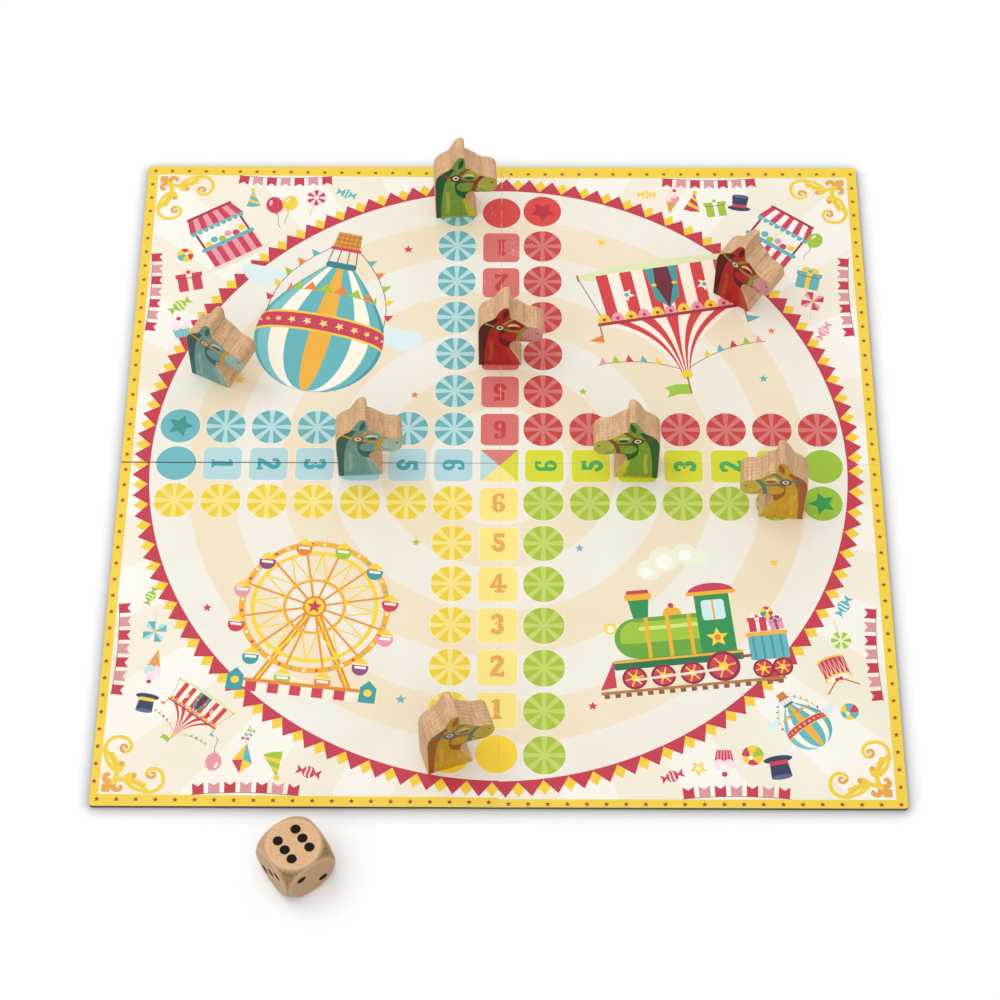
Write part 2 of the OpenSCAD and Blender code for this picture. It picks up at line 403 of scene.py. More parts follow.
def sweet(colour, stripe):
    out = [(colour, [(s * 2.2, 0), (s * 5.2, -s * 2.2), (s * 4.6, 0), (s * 5.2, s * 2.2)]) for s in (-1, 1)]
    out.append((colour, disc(0, 0, 2.7, 20)))
    for x in (-1.3, 0.4):
        left = bezier((x, 2.35), (x + 1.2, 0.8), (x - 0.6, -0.8), (x + 0.6, -2.45), 5)
        right = bezier((x + 1.2, -2.2), (x + 0.2, -0.7), (x + 1.9, 0.8), (x + 0.8, 2.2), 5)
        out.append((stripe, left + right))
    return out


def lollipop(a, b):
    return [
        (STICK, box(-0.4, -9, 0.4, -2)), (a, disc(0, 1, 4.2, 28)),
        *[(b, [(0, 1)] + arc(0, 1, 4.2, 60 * i, 60 * i + 30, 3)) for i in range(6)],
        ("#fdf6ea", disc(0, 1, 0.9, 10)),
    ]


def cone(a, b):
    out = [("#e3aa5f", [(-2.6, -1), (2.6, -1), (0, -8.5)])]
    for s in (-1, 1):
        for x0, x1, y1 in ((1.9, -0.9, -6), (0.2, -1.4, -4.3)):
            out.append(("#c98b3f", stroke([(s * x0, -1.2), (s * x1, y1)], 0.3)))
    scoops = ((a, -1.3, 0.6), (b, 1.3, 0.7), (a, 0, 3.0))
    return out + [(c, disc(x, y, 2.1, 18)) for c, x, y in scoops] + [(CRIMSON, disc(0.3, 5.4, 0.9, 12))]


def gift(a, b):
    return [
        (a, box(-4.6, -5, 4.6, 1.6)), (b, box(-0.9, -5, 0.9, 1.6)), (a, box(-5.2, 1.4, 5.2, 3.4)),
        (b, box(-1.1, 1.4, 1.1, 3.4)), ("#a83450", box(-4.6, 1.0, 4.6, 1.4)),
        *[(b, disc(s * 1.9, 4.6, 1.9, 16, 1.2, s * -25)) for s in (-1, 1)], (a, disc(0, 4.0, 0.9, 10)),
    ]


def drum(a, b):
    out = [(a, box(-7, -6, 7, 4)), (a, disc(0, -6, 7, 28, 2.2))]
    for i in range(6):
        x = -7 + 14 * i / 6
        out.append((b, stroke([(x, 3.4), (x + 7 / 6, -6.8), (x + 14 / 6, 3.4)], 0.5)))
    out += [
        (YOLK, stroke(arc(0, -6, 7, 180, 360, 18, 2.2), 1.1)), (YOLK, disc(0, 4, 7.2, 32, 2.5)),
        (VANILLA, disc(0, 4.2, 6.2, 32, 1.9)),
    ]
    for s in (-1, 1):
        out.append(("#b9803f", stroke([(s * 8.6, 11), (s * 1.0, 4.8)], 0.8)))
        out.append((CRIMSON, disc(s * 1.0, 4.8, 1.1, 12)))
    return out


def ball(a, b, c):
    out, cap = [(a, disc(0, 0, 4.0, 28))], (0.8, 0.9)
    for colour, start in ((b, 60), (c, 180), (b, 300)):
        out.append((colour, [cap] + arc(0, 0, 4.0, start, start + 60, 5)))
    return out + [("#fdf7ea", disc(*cap, 0.9, 10))]


def kite(a, b, c):
    tail = bezier((0, -11), (5, -14), (-5, -18), (1.5, -22), 12)
    out = [
        (a, [(0, 9), (6, 1.5), (0, 0)]), (b, [(0, 9), (0, 0), (-6, 1.5)]),
        (c, [(-6, 1.5), (0, 0), (0, -11)]), (YOLK, [(0, 0), (6, 1.5), (0, -11)]),
        ("#7a5a52", stroke(tail, 0.3)),
    ]
    for i, colour in ((3, CRIMSON), (6, BLUE), (9, LEAF)):
        x, y = tail[i]
        for s in (-1, 1):
            out.append((colour, [(x, y), (x + s * 2.2, y - s * 1.2), (x + s * 2.2, y + s * 1.2)]))
    return out


def cupcake(a, b):
    out = [(a, [(-3.4, 0), (3.4, 0), (2.5, -4.6), (-2.5, -4.6)])]
    for i in range(-2, 3):
        out.append((b, stroke([(i * 1.25, 0), (i * 0.95, -4.6)], 0.45)))
    icing = [(ICING, disc(s * 1.7, 1.0, 2.0, 16)) for s in (-1, 1)]
    return out + icing + [(SNOW, disc(0, 2.6, 1.9, 16)), (CRIMSON, disc(0, 4.7, 1.0, 12))]


def pinwheel(a, b):
    out = [(STICK, box(-0.35, -10, 0.35, 0))]
    for i in range(4):
        out.append((a, turned([(0, 0), (4.6, 0), (4.6, 3.0)], turn=90 * i)))
        out.append((b, turned([(0, 0), (4.6, 3.0), (2.3, 3.6)], turn=90 * i)))
    return out + [(YOLK, disc(0, 0, 0.8, 12))]


def hat(a, b):
    return [
        (a, [(-4, -4), (4, -4), (0, 7)]), (b, [(-2.6, -0.4), (-1.9, 1.6), (2.9, -1.2), (3.5, -2.8)]),
        (b, [(-1.2, 3.8), (-0.6, 5.2), (1.5, 2.9), (2.0, 1.5)]), (YOLK, disc(0, 7.2, 1.2, 12)),
        (VANILLA, stroke([(-4.4, -4), (0, -4.7), (4.4, -4)], 1.2)),
    ]


def top_hat(felt, band):
    return [
        (felt, disc(0, -3, 6, 26, 1.7)), (felt, [(-3.6, -3), (3.6, -3), (4.3, 5), (-4.3, 5)]),
        (band, [(-3.65, -2.4), (3.65, -2.4), (3.85, -0.5), (-3.85, -0.5)]),
        ("#56648a", disc(0, 5, 4.3, 24, 1.1)),
    ]


def stall(a, b, trim):
    """A striped market stall with sweets on its counter."""
    out = [("#f1dfd6", disc(0, -10.4, 11.5, 30, 1.5))]
    for s in (-1, 1):
        out.append((WINE, box(s * 8.4 - 0.4, -2, s * 8.4 + 0.4, 7)))
    for i, colour in enumerate((SUN, trim, LEAF, BLUSH, ROSE, SUN)):
        out.append((colour, disc(-6.5 + 2.6 * i, -0.4 + i % 2, 1.25, 14)))
    for i in range(9):
        out.append(((a, b)[i % 2], box(-9 + 2 * i, -10, -7 + 2 * i, -2)))
    out.append((trim, box(-9.8, -2.7, 9.8, -1.2, 0.5)))
    for i, (x0, x1) in enumerate(steps(-10, 20, 9)):
        out.append((trim, arc((x0 + x1) / 2, 6.6, 10 / 9, 180, 360, 6, 1.9)))
        out.append(((a, b)[i % 2], [(x0, 6.5), (x1, 6.5), (x1 * 0.82, 12), (x0 * 0.82, 12)]))
    return out + [(BRICK, box(-8.5, 11.6, 8.5, 12.6, 0.4))]


def star_motif(colour):
    return [(colour, star(0, 0, 4.6)), (BUTTER, star(0, 0, 2.3))]


def cloud(colour, x, y, k):
    puffs = ((-4.2, 0, 2.6), (-1.2, 1.4, 3.4), (2.6, 0.6, 2.9), (5.2, -0.4, 1.9))
    out = [(colour, disc(x + dx * k, y + dy * k, r * k, 20)) for dx, dy, r in puffs]
    return out + [(colour, box(x - 4.6 * k, y - 2.5 * k, x + 5.4 * k, y - 0.4 * k, 0.9 * k))]


def pennants(line, first, inks, drop, turn=0.0):
    """A string with a pennant at every second point."""
    out = [(CORD, stroke(line, 0.3))]
    for i, colour in enumerate(inks):
        out.append((colour, turned([(-1.5, 0), (1.5, 0), (0, -drop)], *line[first + 2 * i], turn)))
    return out


# The four large pictures


def big_balloon():
    """A striped hot-air balloon with a basket and two strings of flags."""
    def wide(y):
        if y > 2:
            return 22.5 * math.sqrt(max(0.0, 1 - ((y - 9) / 22.5) ** 2))
        return 21.4 * (1 - ((2 - y) / 24) ** 1.35 * 0.76)

    def skin(t, y, dip=4.0):
        """The point t degrees round the balloon, on a line that dips towards the middle."""
        return (sine(t) * wide(y), y - dip * cosine(t))

    def band(colour, top, bottom):
        upper, lower = [[skin(t, y) for t in range(-90, 91, 12)] for y in (top, bottom)]
        return (colour, upper + lower[::-1])

    out = cloud("#dceef0", -27, 2, 1.25) + cloud("#dceef0", 26, -14, 1.15) + cloud("#e7f3f3", 25, 18, 0.85)
    side = [(wide(y), y) for y in [31.5] + [31.5 - 53.5 * (i / 28) ** 1.15 for i in range(1, 29)]]
    for i, colour in enumerate(("#3f97a0", BLUE, PAPER, BLUE, "#f0b13c", BLUE, PAPER, "#7cc3c8", "#58a9b3")):
        a, b = sine(-90 + 20 * i), sine(-70 + 20 * i)
        out.append((colour, [(a * x, y) for x, y in side] + [(b * x, y) for x, y in side[:0:-1]]))
    out.append(band(ROSE, 9.5, 3.5))
    for t in range(-75, 76, 15):
        out.append(("#f7e08a", star(*skin(t, 6.5), 1.75 * max(0.35, cosine(t)))))
    out += [band(SUN, 10.4, 9.5), band(SUN, 3.5, 2.6)]
    for i in range(8):
        left, middle, right = [skin(-80 + 20 * i + t, -8, 3.0) for t in (0, 10, 20)]
        tip = ((left[0] + middle[0] + right[0]) / 3, middle[1] - 3.6)
        out.append((ORANGE if i % 2 else LEAF, [left, tip, right, middle]))
    # basket
    out.append(("#2f7f89", box(-5.4, -24.2, 5.4, -21.6, 1.0)))
    for x0, x1 in ((-5.0, -4.2), (-1.8, -1.5), (1.8, 1.5), (5.0, 4.2)):
        out.append((CORD, stroke([(x0, -24), (x1, -30)], 0.4)))
    out.append(("#d9963f", [(-5.0, -30), (5.0, -30), (4.2, -37.4), (-4.2, -37.4)]))
    for i in range(3):
        out.append(("#b9752c", box(-4.6 + 0.1 * i, -32.5 - 1.9 * i, 4.6 - 0.1 * i, -31.9 - 1.9 * i)))
    for i in range(-2, 3):
        out.append(("#b9752c", box(i * 1.7 - 0.18, -37.2, i * 1.7 + 0.18, -30.6)))
    out.append((ROSE, box(-5.5, -30.9, 5.5, -29.5, 0.6)))
    for s in (-1, 1):
        line = bezier((s * 20.5, 3), (s * 22, -12), (s * 14, -22), (s * 5.2, -30), 12)
        out += pennants(line, 2, (ROSE, SUN, LEAF, ORANGE, BLUE), 3.2, s * 50)
    return out


def big_top():
    """A striped show tent with a scalloped edge and pennants."""
    out, stripes = [("#dfe8b6", disc(0, -27, 34, 40, 3.6))], ("#d13f42", MILK)
    for s in (-1, 1):
        out.append((POLE, stroke([(s * 27, -6), (s * 33, -27)], 0.45)))
        out.append((POLE, stroke([(s * 33, -25.4), (s * 33, -28.6)], 0.8)))
    for i, (x0, x1) in enumerate(steps(-25, 50, 11)):
        out.append((stripes[i % 2], [(x0 * 1.04, -27), (x1 * 1.04, -27), (x1, -4), (x0, -4)]))
    for i, ends in enumerate(steps(-1, 2, 11)):
        left, right = [bezier((u * 29, -4), (u * 17, 1), (u * 6, 8), (u * 2.0, 24), 12) for u in ends]
        out.append((stripes[(i + 1) % 2], left + right[::-1]))
    for i, (x0, x1) in enumerate(steps(-29, 58, 11)):
        out.append(((SUN, BLUSH)[i % 2], arc((x0 + x1) / 2, -4, (x1 - x0) / 2, 180, 360, 8, 4.4)))
        out.append((CRIMSON, disc((x0 + x1) / 2, -5.6, 0.8, 10)))
    out.append((BRICK, box(-29.4, -4.4, 29.4, -2.9, 0.7)))
    # doorway with its curtains, and a star on each side
    out.append(("#6a1f34", [(-6.4, -27), (6.4, -27), (4.6, -12), (0, -7.5), (-4.6, -12)]))
    curtain = ((6.4, -27), (2.9, -27), (3.6, -18.5), (0.2, -8.0), (4.6, -12))
    out += [(SEA, [(s * x, y) for x, y in curtain]) for s in (-1, 1)]
    out += [(SUN, box(s * 4.1 - 1.0, -19.4, s * 4.1 + 1.0, -18.2, 0.4)) for s in (-1, 1)]
    for s in (-1, 1):
        out.append((MILK, star(s * 15.5, -16, 3.2)))
        out.append((BLUE, disc(s * 15.5, -16, 1.0, 12)))
    # flags
    out += [(SUN, disc(0, 25, 2.2, 18)), (POLE, box(-0.35, 26, 0.35, 34))]
    flag = [(0.35, 34), (5, 33.4), (9.5, 34.4), (8.0, 31.8), (9.5, 29.6), (5, 28.8), (0.35, 29.4)]
    out.append((LEAF, flag))
    for s, colour in ((-1, BLUE), (1, ORANGE)):
        out.append((POLE, box(s * 28.6 - 0.3, -4, s * 28.6 + 0.3, 5)))
        out.append((colour, [(s * 28.6, 5), (s * 28.6 + s * 5.4, 3.2), (s * 28.6, 1.4)]))
    for s in (-1, 1):
        line = bezier((s * 2, 22), (s * 12, 16), (s * 24, 14), (s * 33, 15), 12)
        out += pennants(line, 3, (SUN, BLUE, ROSE, LEAF, BLUSH), 3.3)
    return out


def big_wheel():
    """A fairground wheel with coloured cabins."""
    hub = 3
    spot = lambda r, angle: polar(r, angle, 0, hub)
    out = [("#f7e7b4", disc(0, -30.5, 27, 36, 3.0))]
    for s in (-1, 1):
        for colour, width in ((TANGERINE, 2.4), (LEMON, 0.8)):
            out.append((colour, stroke([(0, hub), (s * 17, -30)], width)))
    for colour, r, width, n in ((BRASS, 26.5, 2.2, 60), (LEMON, 22.6, 1.5, 54), (BRASS, 11.0, 1.2, 36)):
        out += ring(colour, 0, hub, r, width, n)
    for a in range(15, 375, 30):
        out.append(("#e79a2f", stroke([spot(2, a), spot(26, a)], 0.9)))
        out += [(LEMON, stroke([spot(11, a + t), spot(22.6, a + 15)], 0.6)) for t in (0, 30)]
    for i in range(36):
        out.append(((PAPER, ROSE, BLUE)[i % 3], disc(*spot(26.5, 10 * i), 0.62, 8)))
    for i in range(12):
        x, y = spot(28.2, 15 + 30 * i)
        cabin = path(arc(x, y - 3.4, 3.0, 180, 360, 8, 3.0), [(x + 3.0, y - 2.2), (x - 3.0, y - 2.2)])
        out += [
            (BROWN, stroke([(x, y + 0.6), (x, y - 1.6)], 0.6)),
            (LEMON, [(x - 3.2, y - 1.6), (x + 3.2, y - 1.6), (x, y + 1.0)]),
            ((ROSE, SEA, LEAF, ORANGE, PLUM, BLUSH)[i % 6], cabin),
            (PAPER, box(x - 2.1, y - 3.6, x + 2.1, y - 2.6, 0.3)),
        ]
    out += [(TANGERINE, disc(0, hub, 4.4, 26)), (LEMON, disc(0, hub, 3.5, 24)), (ROSE, star(0, hub, 3.0))]
    for i in range(10):
        out.append(((ROSE, MILK)[i % 2], box(-20 + 4 * i, -34, -16 + 4 * i, -29.6)))
    out.append((TANGERINE, box(-21, -30.2, 21, -28.8, 0.5)))
    for s in (-1, 1):
        out.append((SEA, [(s * 21, -34), (s * 27, -34), (s * 27, -28), (s * 24, -25), (s * 21, -28)]))
        out.append((LEMON, disc(s * 24, -30, 1.5, 14)))
    return out


def big_engine():
    """A toy steam engine with a wagon of parcels."""
    smoke = ((-10, 25, 4.6), (-4, 29, 5.6), (4, 30.5, 4.6), (10, 28, 3.4))
    out = [("#eef2da", disc(x, y, r, 24)) for x, y, r in smoke]
    out += [("#fbfaf0", disc(x, y, r, 18)) for x, y, r in ((-11.5, 24, 2.2), (-4, 28, 3.2), (4.2, 30, 2.4))]
    out.append(("#b07a44", box(-34, -25.6, 34, -24.4)))
    out += [(BROWN, box(-33 + 4 * i, -27.2, -31 + 4 * i, -25.6)) for i in range(17)]
    # boiler with its bands, chimney and dome
    out += [
        ("#6aa63a", path(arc(-18, -3.5, 8.5, 90, 270, 14), [(6, -12), (6, 5)])),
        (LEAF, path(arc(-18, -2.6, 6.4, 100, 205, 8), [(-18, -5.6), (6, -5.6), (6, 3.2), (-18, 3.2)])),
        ("#d4e67a", box(-17, -0.4, 5, 1.2, 0.6)),
        *[(BRASS, box(x - 0.7, -12, x + 0.7, 5)) for x in (-14, -6, 2)],
        (PINE, [(-18.5, 5), (-13, 5), (-11.8, 13), (-19.7, 13)]),
        (BRASS, box(-20.8, 12.6, -10.7, 15.4, 0.8)), (ROSE, box(-19.9, 15.2, -11.6, 16.8, 0.5)),
        (BRASS, arc(-4, 5, 3.6, 0, 180, 12)), (ROSE, disc(-4, 9.1, 1.1, 12)),
    ]
    # cab, frame and lamp
    out += [
        (PINE, box(5, -15, 18, 13)), ("#cfeaf0", box(7.2, 1.5, 15.8, 10, 1.2)),
        (BRASS, box(11.1, 1.5, 11.9, 10)),
        (ROSE, path([(2.6, 13), (20.4, 13)], arc(11.5, 13, 8.9, 0, 180, 14, 4.2))),
        (BRASS, box(2.2, 12.2, 20.8, 13.8, 0.6)), (LEMON, star(11.5, -6, 4.2)),
        (ORANGE, disc(11.5, -6, 1.3, 12)), ("#1f6f45", box(-28, -16, 20, -12, 0.8)),
        (BRASS, box(-28, -13.2, 20, -12.2)),
        (ROSE, [(-28, -12), (-28, -23), (-34, -23.6)]), (LEMON, disc(-27.4, 1.5, 2.4, 18)),
        ("#fdf8dd", disc(-27.4, 1.5, 1.5, 14)),
    ]
    # wagon
    out.append((BLUE, box(22.5, -17, 37, -6, 0.8)))
    out += [(SEA, box(24 + 3.4 * i, -17, 24.8 + 3.4 * i, -6)) for i in range(4)]
    out.append((BRASS, box(22, -7, 37.5, -5.4, 0.5)))
    out += put(gift(ROSE, MILK), 27, -1.6, 0, 0.72) + put(gift(BLUSH, PLUM), 33.8, -2.4, 8, 0.55)
    out += put(ball(LEMON, ROSE, SEA), 31, 2.6, 0, 0.6)
    out.append((BROWN, box(19, -15.4, 23, -14.2)))
    for x, r in ((-21, 4.6), (-10.4, 4.6), (0.4, 4.6), (12, 6.2), (26.4, 3.8), (33.6, 3.8)):
        y = -24.4 + r
        out += [(WINE, disc(x, y, r, 28)), (ROSE, disc(x, y, r * 0.8, 26))]
        out += [(LEMON, stroke([(x, y), polar(0.76 * r, 60 * i + 10, x, y)], 0.55)) for i in range(6)]
        out.append((LEMON, disc(x, y, r * 0.28, 14)))
    return out + [("#e9e2d0", stroke([(-21, -20.6), (12, -19.2)], 1.0))]


# What stands in the corners outside the ring: motif, place, turn and size
CORNERS = {
    "rear_left": (
        (stall(ROSE, BLUSH, BLUE), 107.5, 105.5, 31, 1.15), (balloon(ROSE, "#f3c3cc"), 89, 121, 12, 0.95),
        (balloon(SUN, BUTTER), 83, 122, -10, 0.85), (gift(ROSE, SAND), 120, 84, 12, 1.0),
        (sweet(LEAF, PEAR), 123, 72, 40, 0.95), (lollipop(ROSE, ICING), 73, 124, -15, 0.9),
        (cupcake(BLUE, "#8fcbd0"), 122, 61.5, 14, 0.95), (ball(SUN, ROSE, BLUE), 122.5, 96, 10, 0.8),
        (hat(BLUE, SUN), 97.5, 123, 5, 0.75), (sweet(BLUE, MIST), 61, 127, -20, 0.8),
    ),
    "rear_right": (
        (stall(ROSE, SNOW, BLUE), 107, 105, -35, 1.15), (top_hat(NAVY, ROSE), 94.5, 123, -8, 0.75),
        (gift(BLUE, SUN), 119.5, 86.5, -15, 0.95), (gift(LEAF, SNOW), 85, 121, 8, 0.85),
        (hat(ROSE, SUN), 76, 122.5, -10, 0.85), (cone(ICING, BLUSH), 68, 125, -10, 0.85),
        (sweet(SUN, BUTTER), 58, 127.5, 0, 0.75), (balloon(LEAF, PEAR), 123, 105, -30, 0.85),
        (pinwheel(ROSE, BLUSH), 120.5, 76, -10, 0.9), (sweet(BLUSH, SNOW), 124, 62, 60, 0.85),
    ),
    "front_right": (
        (big_balloon(), 107, 106, 35, 0.36), (drum(ROSE, SAND), 119.5, 86, 20, 0.7),
        (ball(BLUE, SUN, ROSE), 123.5, 102, 0, 0.8), (top_hat(NAVY, ROSE), 98, 123, 10, 0.85),
        (ball(SUN, ROSE, LEAF), 89, 119, 0, 0.95), (lollipop(LEAF, PEAR), 122, 73, 15, 0.85),
        (cupcake(ROSE, BLUSH), 79, 121.5, 0, 1.0), (sweet(BLUE, MIST), 124, 60, 60, 0.85),
        (sweet(ROSE, ICING), 61, 127, 20, 0.8), (star_motif(SUN), 70, 124, 0, 0.7),
    ),
    "front_left": (
        (big_top(), 107.5, 105.5, -35, 0.36), (kite(ROSE, SUN, BLUE), 88, 122, -10, 0.6),
        (cone(ICING, "#c9e3e5"), 121.5, 87, -10, 0.95), (pinwheel(BLUE, "#b3dbdf"), 122, 72, 0, 0.9),
        (hat(LEAF, SUN), 77, 122.5, 10, 0.9), (sweet(ROSE, ICING), 65, 126.5, -15, 0.85),
        (balloon(BLUSH, SNOW), 98, 123, -5, 0.8), (top_hat(NAVY, SUN), 123, 100, -10, 0.7),
        (sweet(LEAF, PEAR), 124.5, 57.5, 70, 0.75),
    ),
}
SMALL_STARS = (
    (-98, 38, 2.2, SUN), (-36, 100, 2.0, ROSE), (-104, 60, 1.6, LEAF), (40, 104, 2.0, SUN),
    (100, 40, 1.9, BLUE), (104, 62, 1.6, ORANGE), (-104, -62, 1.8, ROSE), (-34, -98, 2.0, BLUE),
    (-30, -34, 1.7, LEAF), (100, -42, 2.0, SUN), (34, -100, 1.8, ROSE), (30, -36, 1.7, BLUE),
    (-32, 32, 1.7, ORANGE), (32, 34, 1.7, LEAF),
)


def pictures():
    """The corners' motifs, with their tops outward, the large pictures and the small stars."""
    out = []
    for corner, (sx, sy) in QUARTERS.items():
        for shapes, x, y, turn, size in CORNERS[corner]:
            out += put(shapes, sx * x, sy * y, turn + (0 if sy > 0 else 180), size)
    out += put(big_balloon(), -67, 67, 168, 1.1)
    out += put(big_top(), 67, 66, 190, 0.98)
    out += put(big_wheel(), -66, -64, -6, 0.98)
    out += put(big_engine(), 67, -68, 6, 0.96)
    return out + [(c, star(x, y, r)) for x, y, r, c in SMALL_STARS]


def around(angle, r, side=0):
    """A point at that angle and distance from the middle, moved sideways."""
    c, s = cosine(angle), sine(angle)
    return (r * c - side * s, r * s + side * c)


def art(quarter):
    """The print of one quarter, about the middle of the pattern."""
    out = []
    # sunburst outside the ring
    for i in range(22):
        a, half, far = 32.5 + 16.2 * i, 4.2, 210
        out.append((PALE, [(0, 0), around(a - half, far), around(a + half, far)]))
    # ring of red flags, with yellow diamonds between them
    step, first = RINGS[quarter]
    angles = [first + step * i for i in range(int(360 / step) + 1)]
    diamond = ((129.1, 0), (132.3, -2.25), (135.2, 0), (132.3, 2.25))
    flag = ((128.6, -4.3), (129.55, -4.34), (135.2, 0), (129.55, 4.34), (128.6, 4.3))
    out += [(SUN, [around(a + step / 2, r, side) for r, side in diamond]) for a in angles]
    out += [(CRIMSON, [around(a, r, side) for r, side in flag]) for a in angles]
    for i, r in enumerate((129.0, 115.0, 98.5, 80.5, 62.5, 44.5, 26.5)):
        out.append((TAN if i % 2 else CREAM, disc(0, 0, r, 150)))
    # bunting, by the middles of the two strings on each side, and the corner scrolls
    for side, middles in enumerate(((-85.3, 82.8), (-79.0, 78.4), (-82.8, 86.3), (-78.0, 79.4))):
        for x in middles:
            out += put(put(bunting(), x, 135.6), turn=90 * side)
    for side, (x, y) in enumerate(((137.1, 135.9), (135.9, 135.9), (136.9, 135.9), (135.9, 137.2))):
        out += put(put(scroll(), x, y, 180), turn=90 * side)
    return out + pictures() + track()


def border(quarter, sx, sy):
    """Yellow band with red stars along the outer edges of one quarter, in board coordinates."""
    band, pitch, far, star_r = 1.85, 6.71, 150.0, 1.08
    along_side = 0.1 if sx < 0 else -1.15
    along_end = 0.3 if sy > 0 else 0.15
    row = lambda ends, t: ends[0] + (ends[1] - ends[0]) * t / HALF
    side, end = STAR_ROWS[quarter]
    side_edge = [(row(side, t) - band, t) for t in (0, far)] + [(far, far), (far, 0)]
    end_edge = [(t, row(end, t) - band) for t in (0, far)] + [(far, far), (0, far)]
    out = [(BORDER, [(sx * x, sy * y) for x, y in edge]) for edge in (side_edge, end_edge)]
    for n in range(21):
        t = pitch * (n + 0.5)
        out.append((STAR_RED, star(sx * t + along_end, sy * row(end, t), star_r)))
        if n < 20:
            out.append((STAR_RED, star(sx * row(side, t), sy * t + along_side, star_r)))
    return out


def wear(sx, sy):
    """Cracked ink along the rear fold and small chips, for one panel, in board coordinates."""
    dice, out = random.Random(17 * sx + 5 * sy + 40), []
    y = 4.0
    while sy > 0 and y < 138:
        length, w = dice.uniform(1.5, 7.0), dice.uniform(0.03, 0.12)
        wide, narrow = REAR_GAP + w, REAR_GAP + 0.6 * w
        crack = [(0, y), (wide, y + 0.3 * length), (narrow, y + 0.8 * length), (0, y + length)]
        out.append(("#ecd9cb", [(sx * x, sy * q) for x, q in crack]))
        y += length + dice.uniform(0.2, 5.0)
    # chips: middle, reach and number of each patch
    patches = {
        (1, 1): ((5.0, 98.0, 2.6, 34), (4.4, 118.5, 3.2, 6), (2.0, 108.0, 5.0, 4), (12.0, 102.0, 2.0, 5)),
        (-1, 1): ((-3.4, 117.0, 3.6, 5), (-2.0, 84.0, 4.0, 4)),
    }
    for x0, y0, reach, count in patches.get((sx, sy), ((3.0 * sx, 70.0 * sy, 40.0, 5),)):
        for _ in range(count):
            x, y = x0 + dice.gauss(0, reach / 2), y0 + dice.gauss(0, reach / 2)
            r = dice.uniform(0.08, 0.22)
            out.append(("#f3dcd2", disc(x, y, r, 7, r * dice.uniform(0.4, 1.0), dice.uniform(0, 180))))
    return out


# Meshes from drawings


def sheet_outline(sx, sy):
    """Edge of one quarter's printed sheet, in board coordinates."""
    gap, middle = REAR_GAP if sy > 0 else FRONT_GAP, HALF - CORNER_R
    start, far = CUT_GAP if sx < 0 else (SIDE_GAP, SIDE_GAP)
    run = [(gap, start), (HALF, far)] + arc(middle, middle, CORNER_R, 0, 90, 8) + [(gap, HALF)]
    return [(sx * x, sy * y) for x, y in run]


def clipped(shapes, x0, y0, x1, y1):
    """Only the shapes that can touch a box."""
    out = []
    for c, p in shapes:
        xs, ys = [q[0] for q in p], [q[1] for q in p]
        if max(xs) > x0 and min(xs) < x1 and max(ys) > y0 and min(ys) < y1:
            out.append((c, p))
    return out


def flat_print(outline, ground, shapes):
    """Points, triangles and inks that fill outline, each triangle in the colour of the top shape there."""
    points, faces, inks = [], [], []
    for colour, p in [(ground, outline)] + shapes:
        area = sum(p[i - 1][0] * p[i][1] - p[i][0] * p[i - 1][1] for i in range(len(p)))
        p = p if area > 0 else p[::-1]
        faces.append(list(range(len(points), len(points) + len(p))))
        points += [Vector(q) for q in p]
        inks.append(colour)
    verts, _, tris, _, _, ids = delaunay_2d_cdt(points, [], faces, 1, 1e-5, True)
    keep = [(t, max(i)) for t, i in zip(tris, ids, strict=True) if 0 in i]
    used = sorted({v for t, _ in keep for v in t})
    at = {v: i for i, v in enumerate(used)}
    return [tuple(verts[v]) for v in used], [[at[v] for v in t] for t, _ in keep], [inks[i] for _, i in keep]


def rim(tris):
    """The loop of points round the edge of a patch of triangles, anticlockwise."""
    edges = {(t[i - 1], t[i]) for t in tris for i in range(len(t))}
    after = {a: b for a, b in edges if (b, a) not in edges}
    loop = [min(after)]
    while after[loop[-1]] != loop[0]:
        loop.append(after[loop[-1]])
    return loop


def mesh_object(name, verts, faces, materials, slots=None, inks=None, uv=None, grain=None, smooth=None):
    me = bpy.data.meshes.new(name)
    me.from_pydata(verts, [], faces)
    for m in materials:
        me.materials.append(m)
    if slots is not None:
        me.polygons.foreach_set("material_index", slots)
    if inks is not None:
        linear = {c: rgb(c) for c in set(inks)}
        layer = me.color_attributes.new("ink", "FLOAT_COLOR", "CORNER")
        corners = [x for f, c in zip(faces, inks, strict=True) for x in linear[c] * len(f)]
        layer.data.foreach_set("color", corners)
    if uv is not None:
        layer = me.uv_layers.new(name="OFBake")
        layer.uv.foreach_set("vector", [x for q in uv for x in q])
    if grain is not None:
        layer = me.attributes.new("grain", "FLOAT_VECTOR", "POINT")
        layer.data.foreach_set("vector", [x for q in grain for x in q])
    if smooth is not None:
        me.polygons.foreach_set("use_smooth", [True] * len(faces))
        me.set_sharp_from_angle(angle=math.radians(smooth))
    me.update()
    return linked(name, me)


def linked(name, data):
    obj = bpy.data.objects.new(name, data)
    bpy.context.scene.collection.objects.link(obj)
    return obj


# Materials
IN_MM = (1000, 1000, 1000)


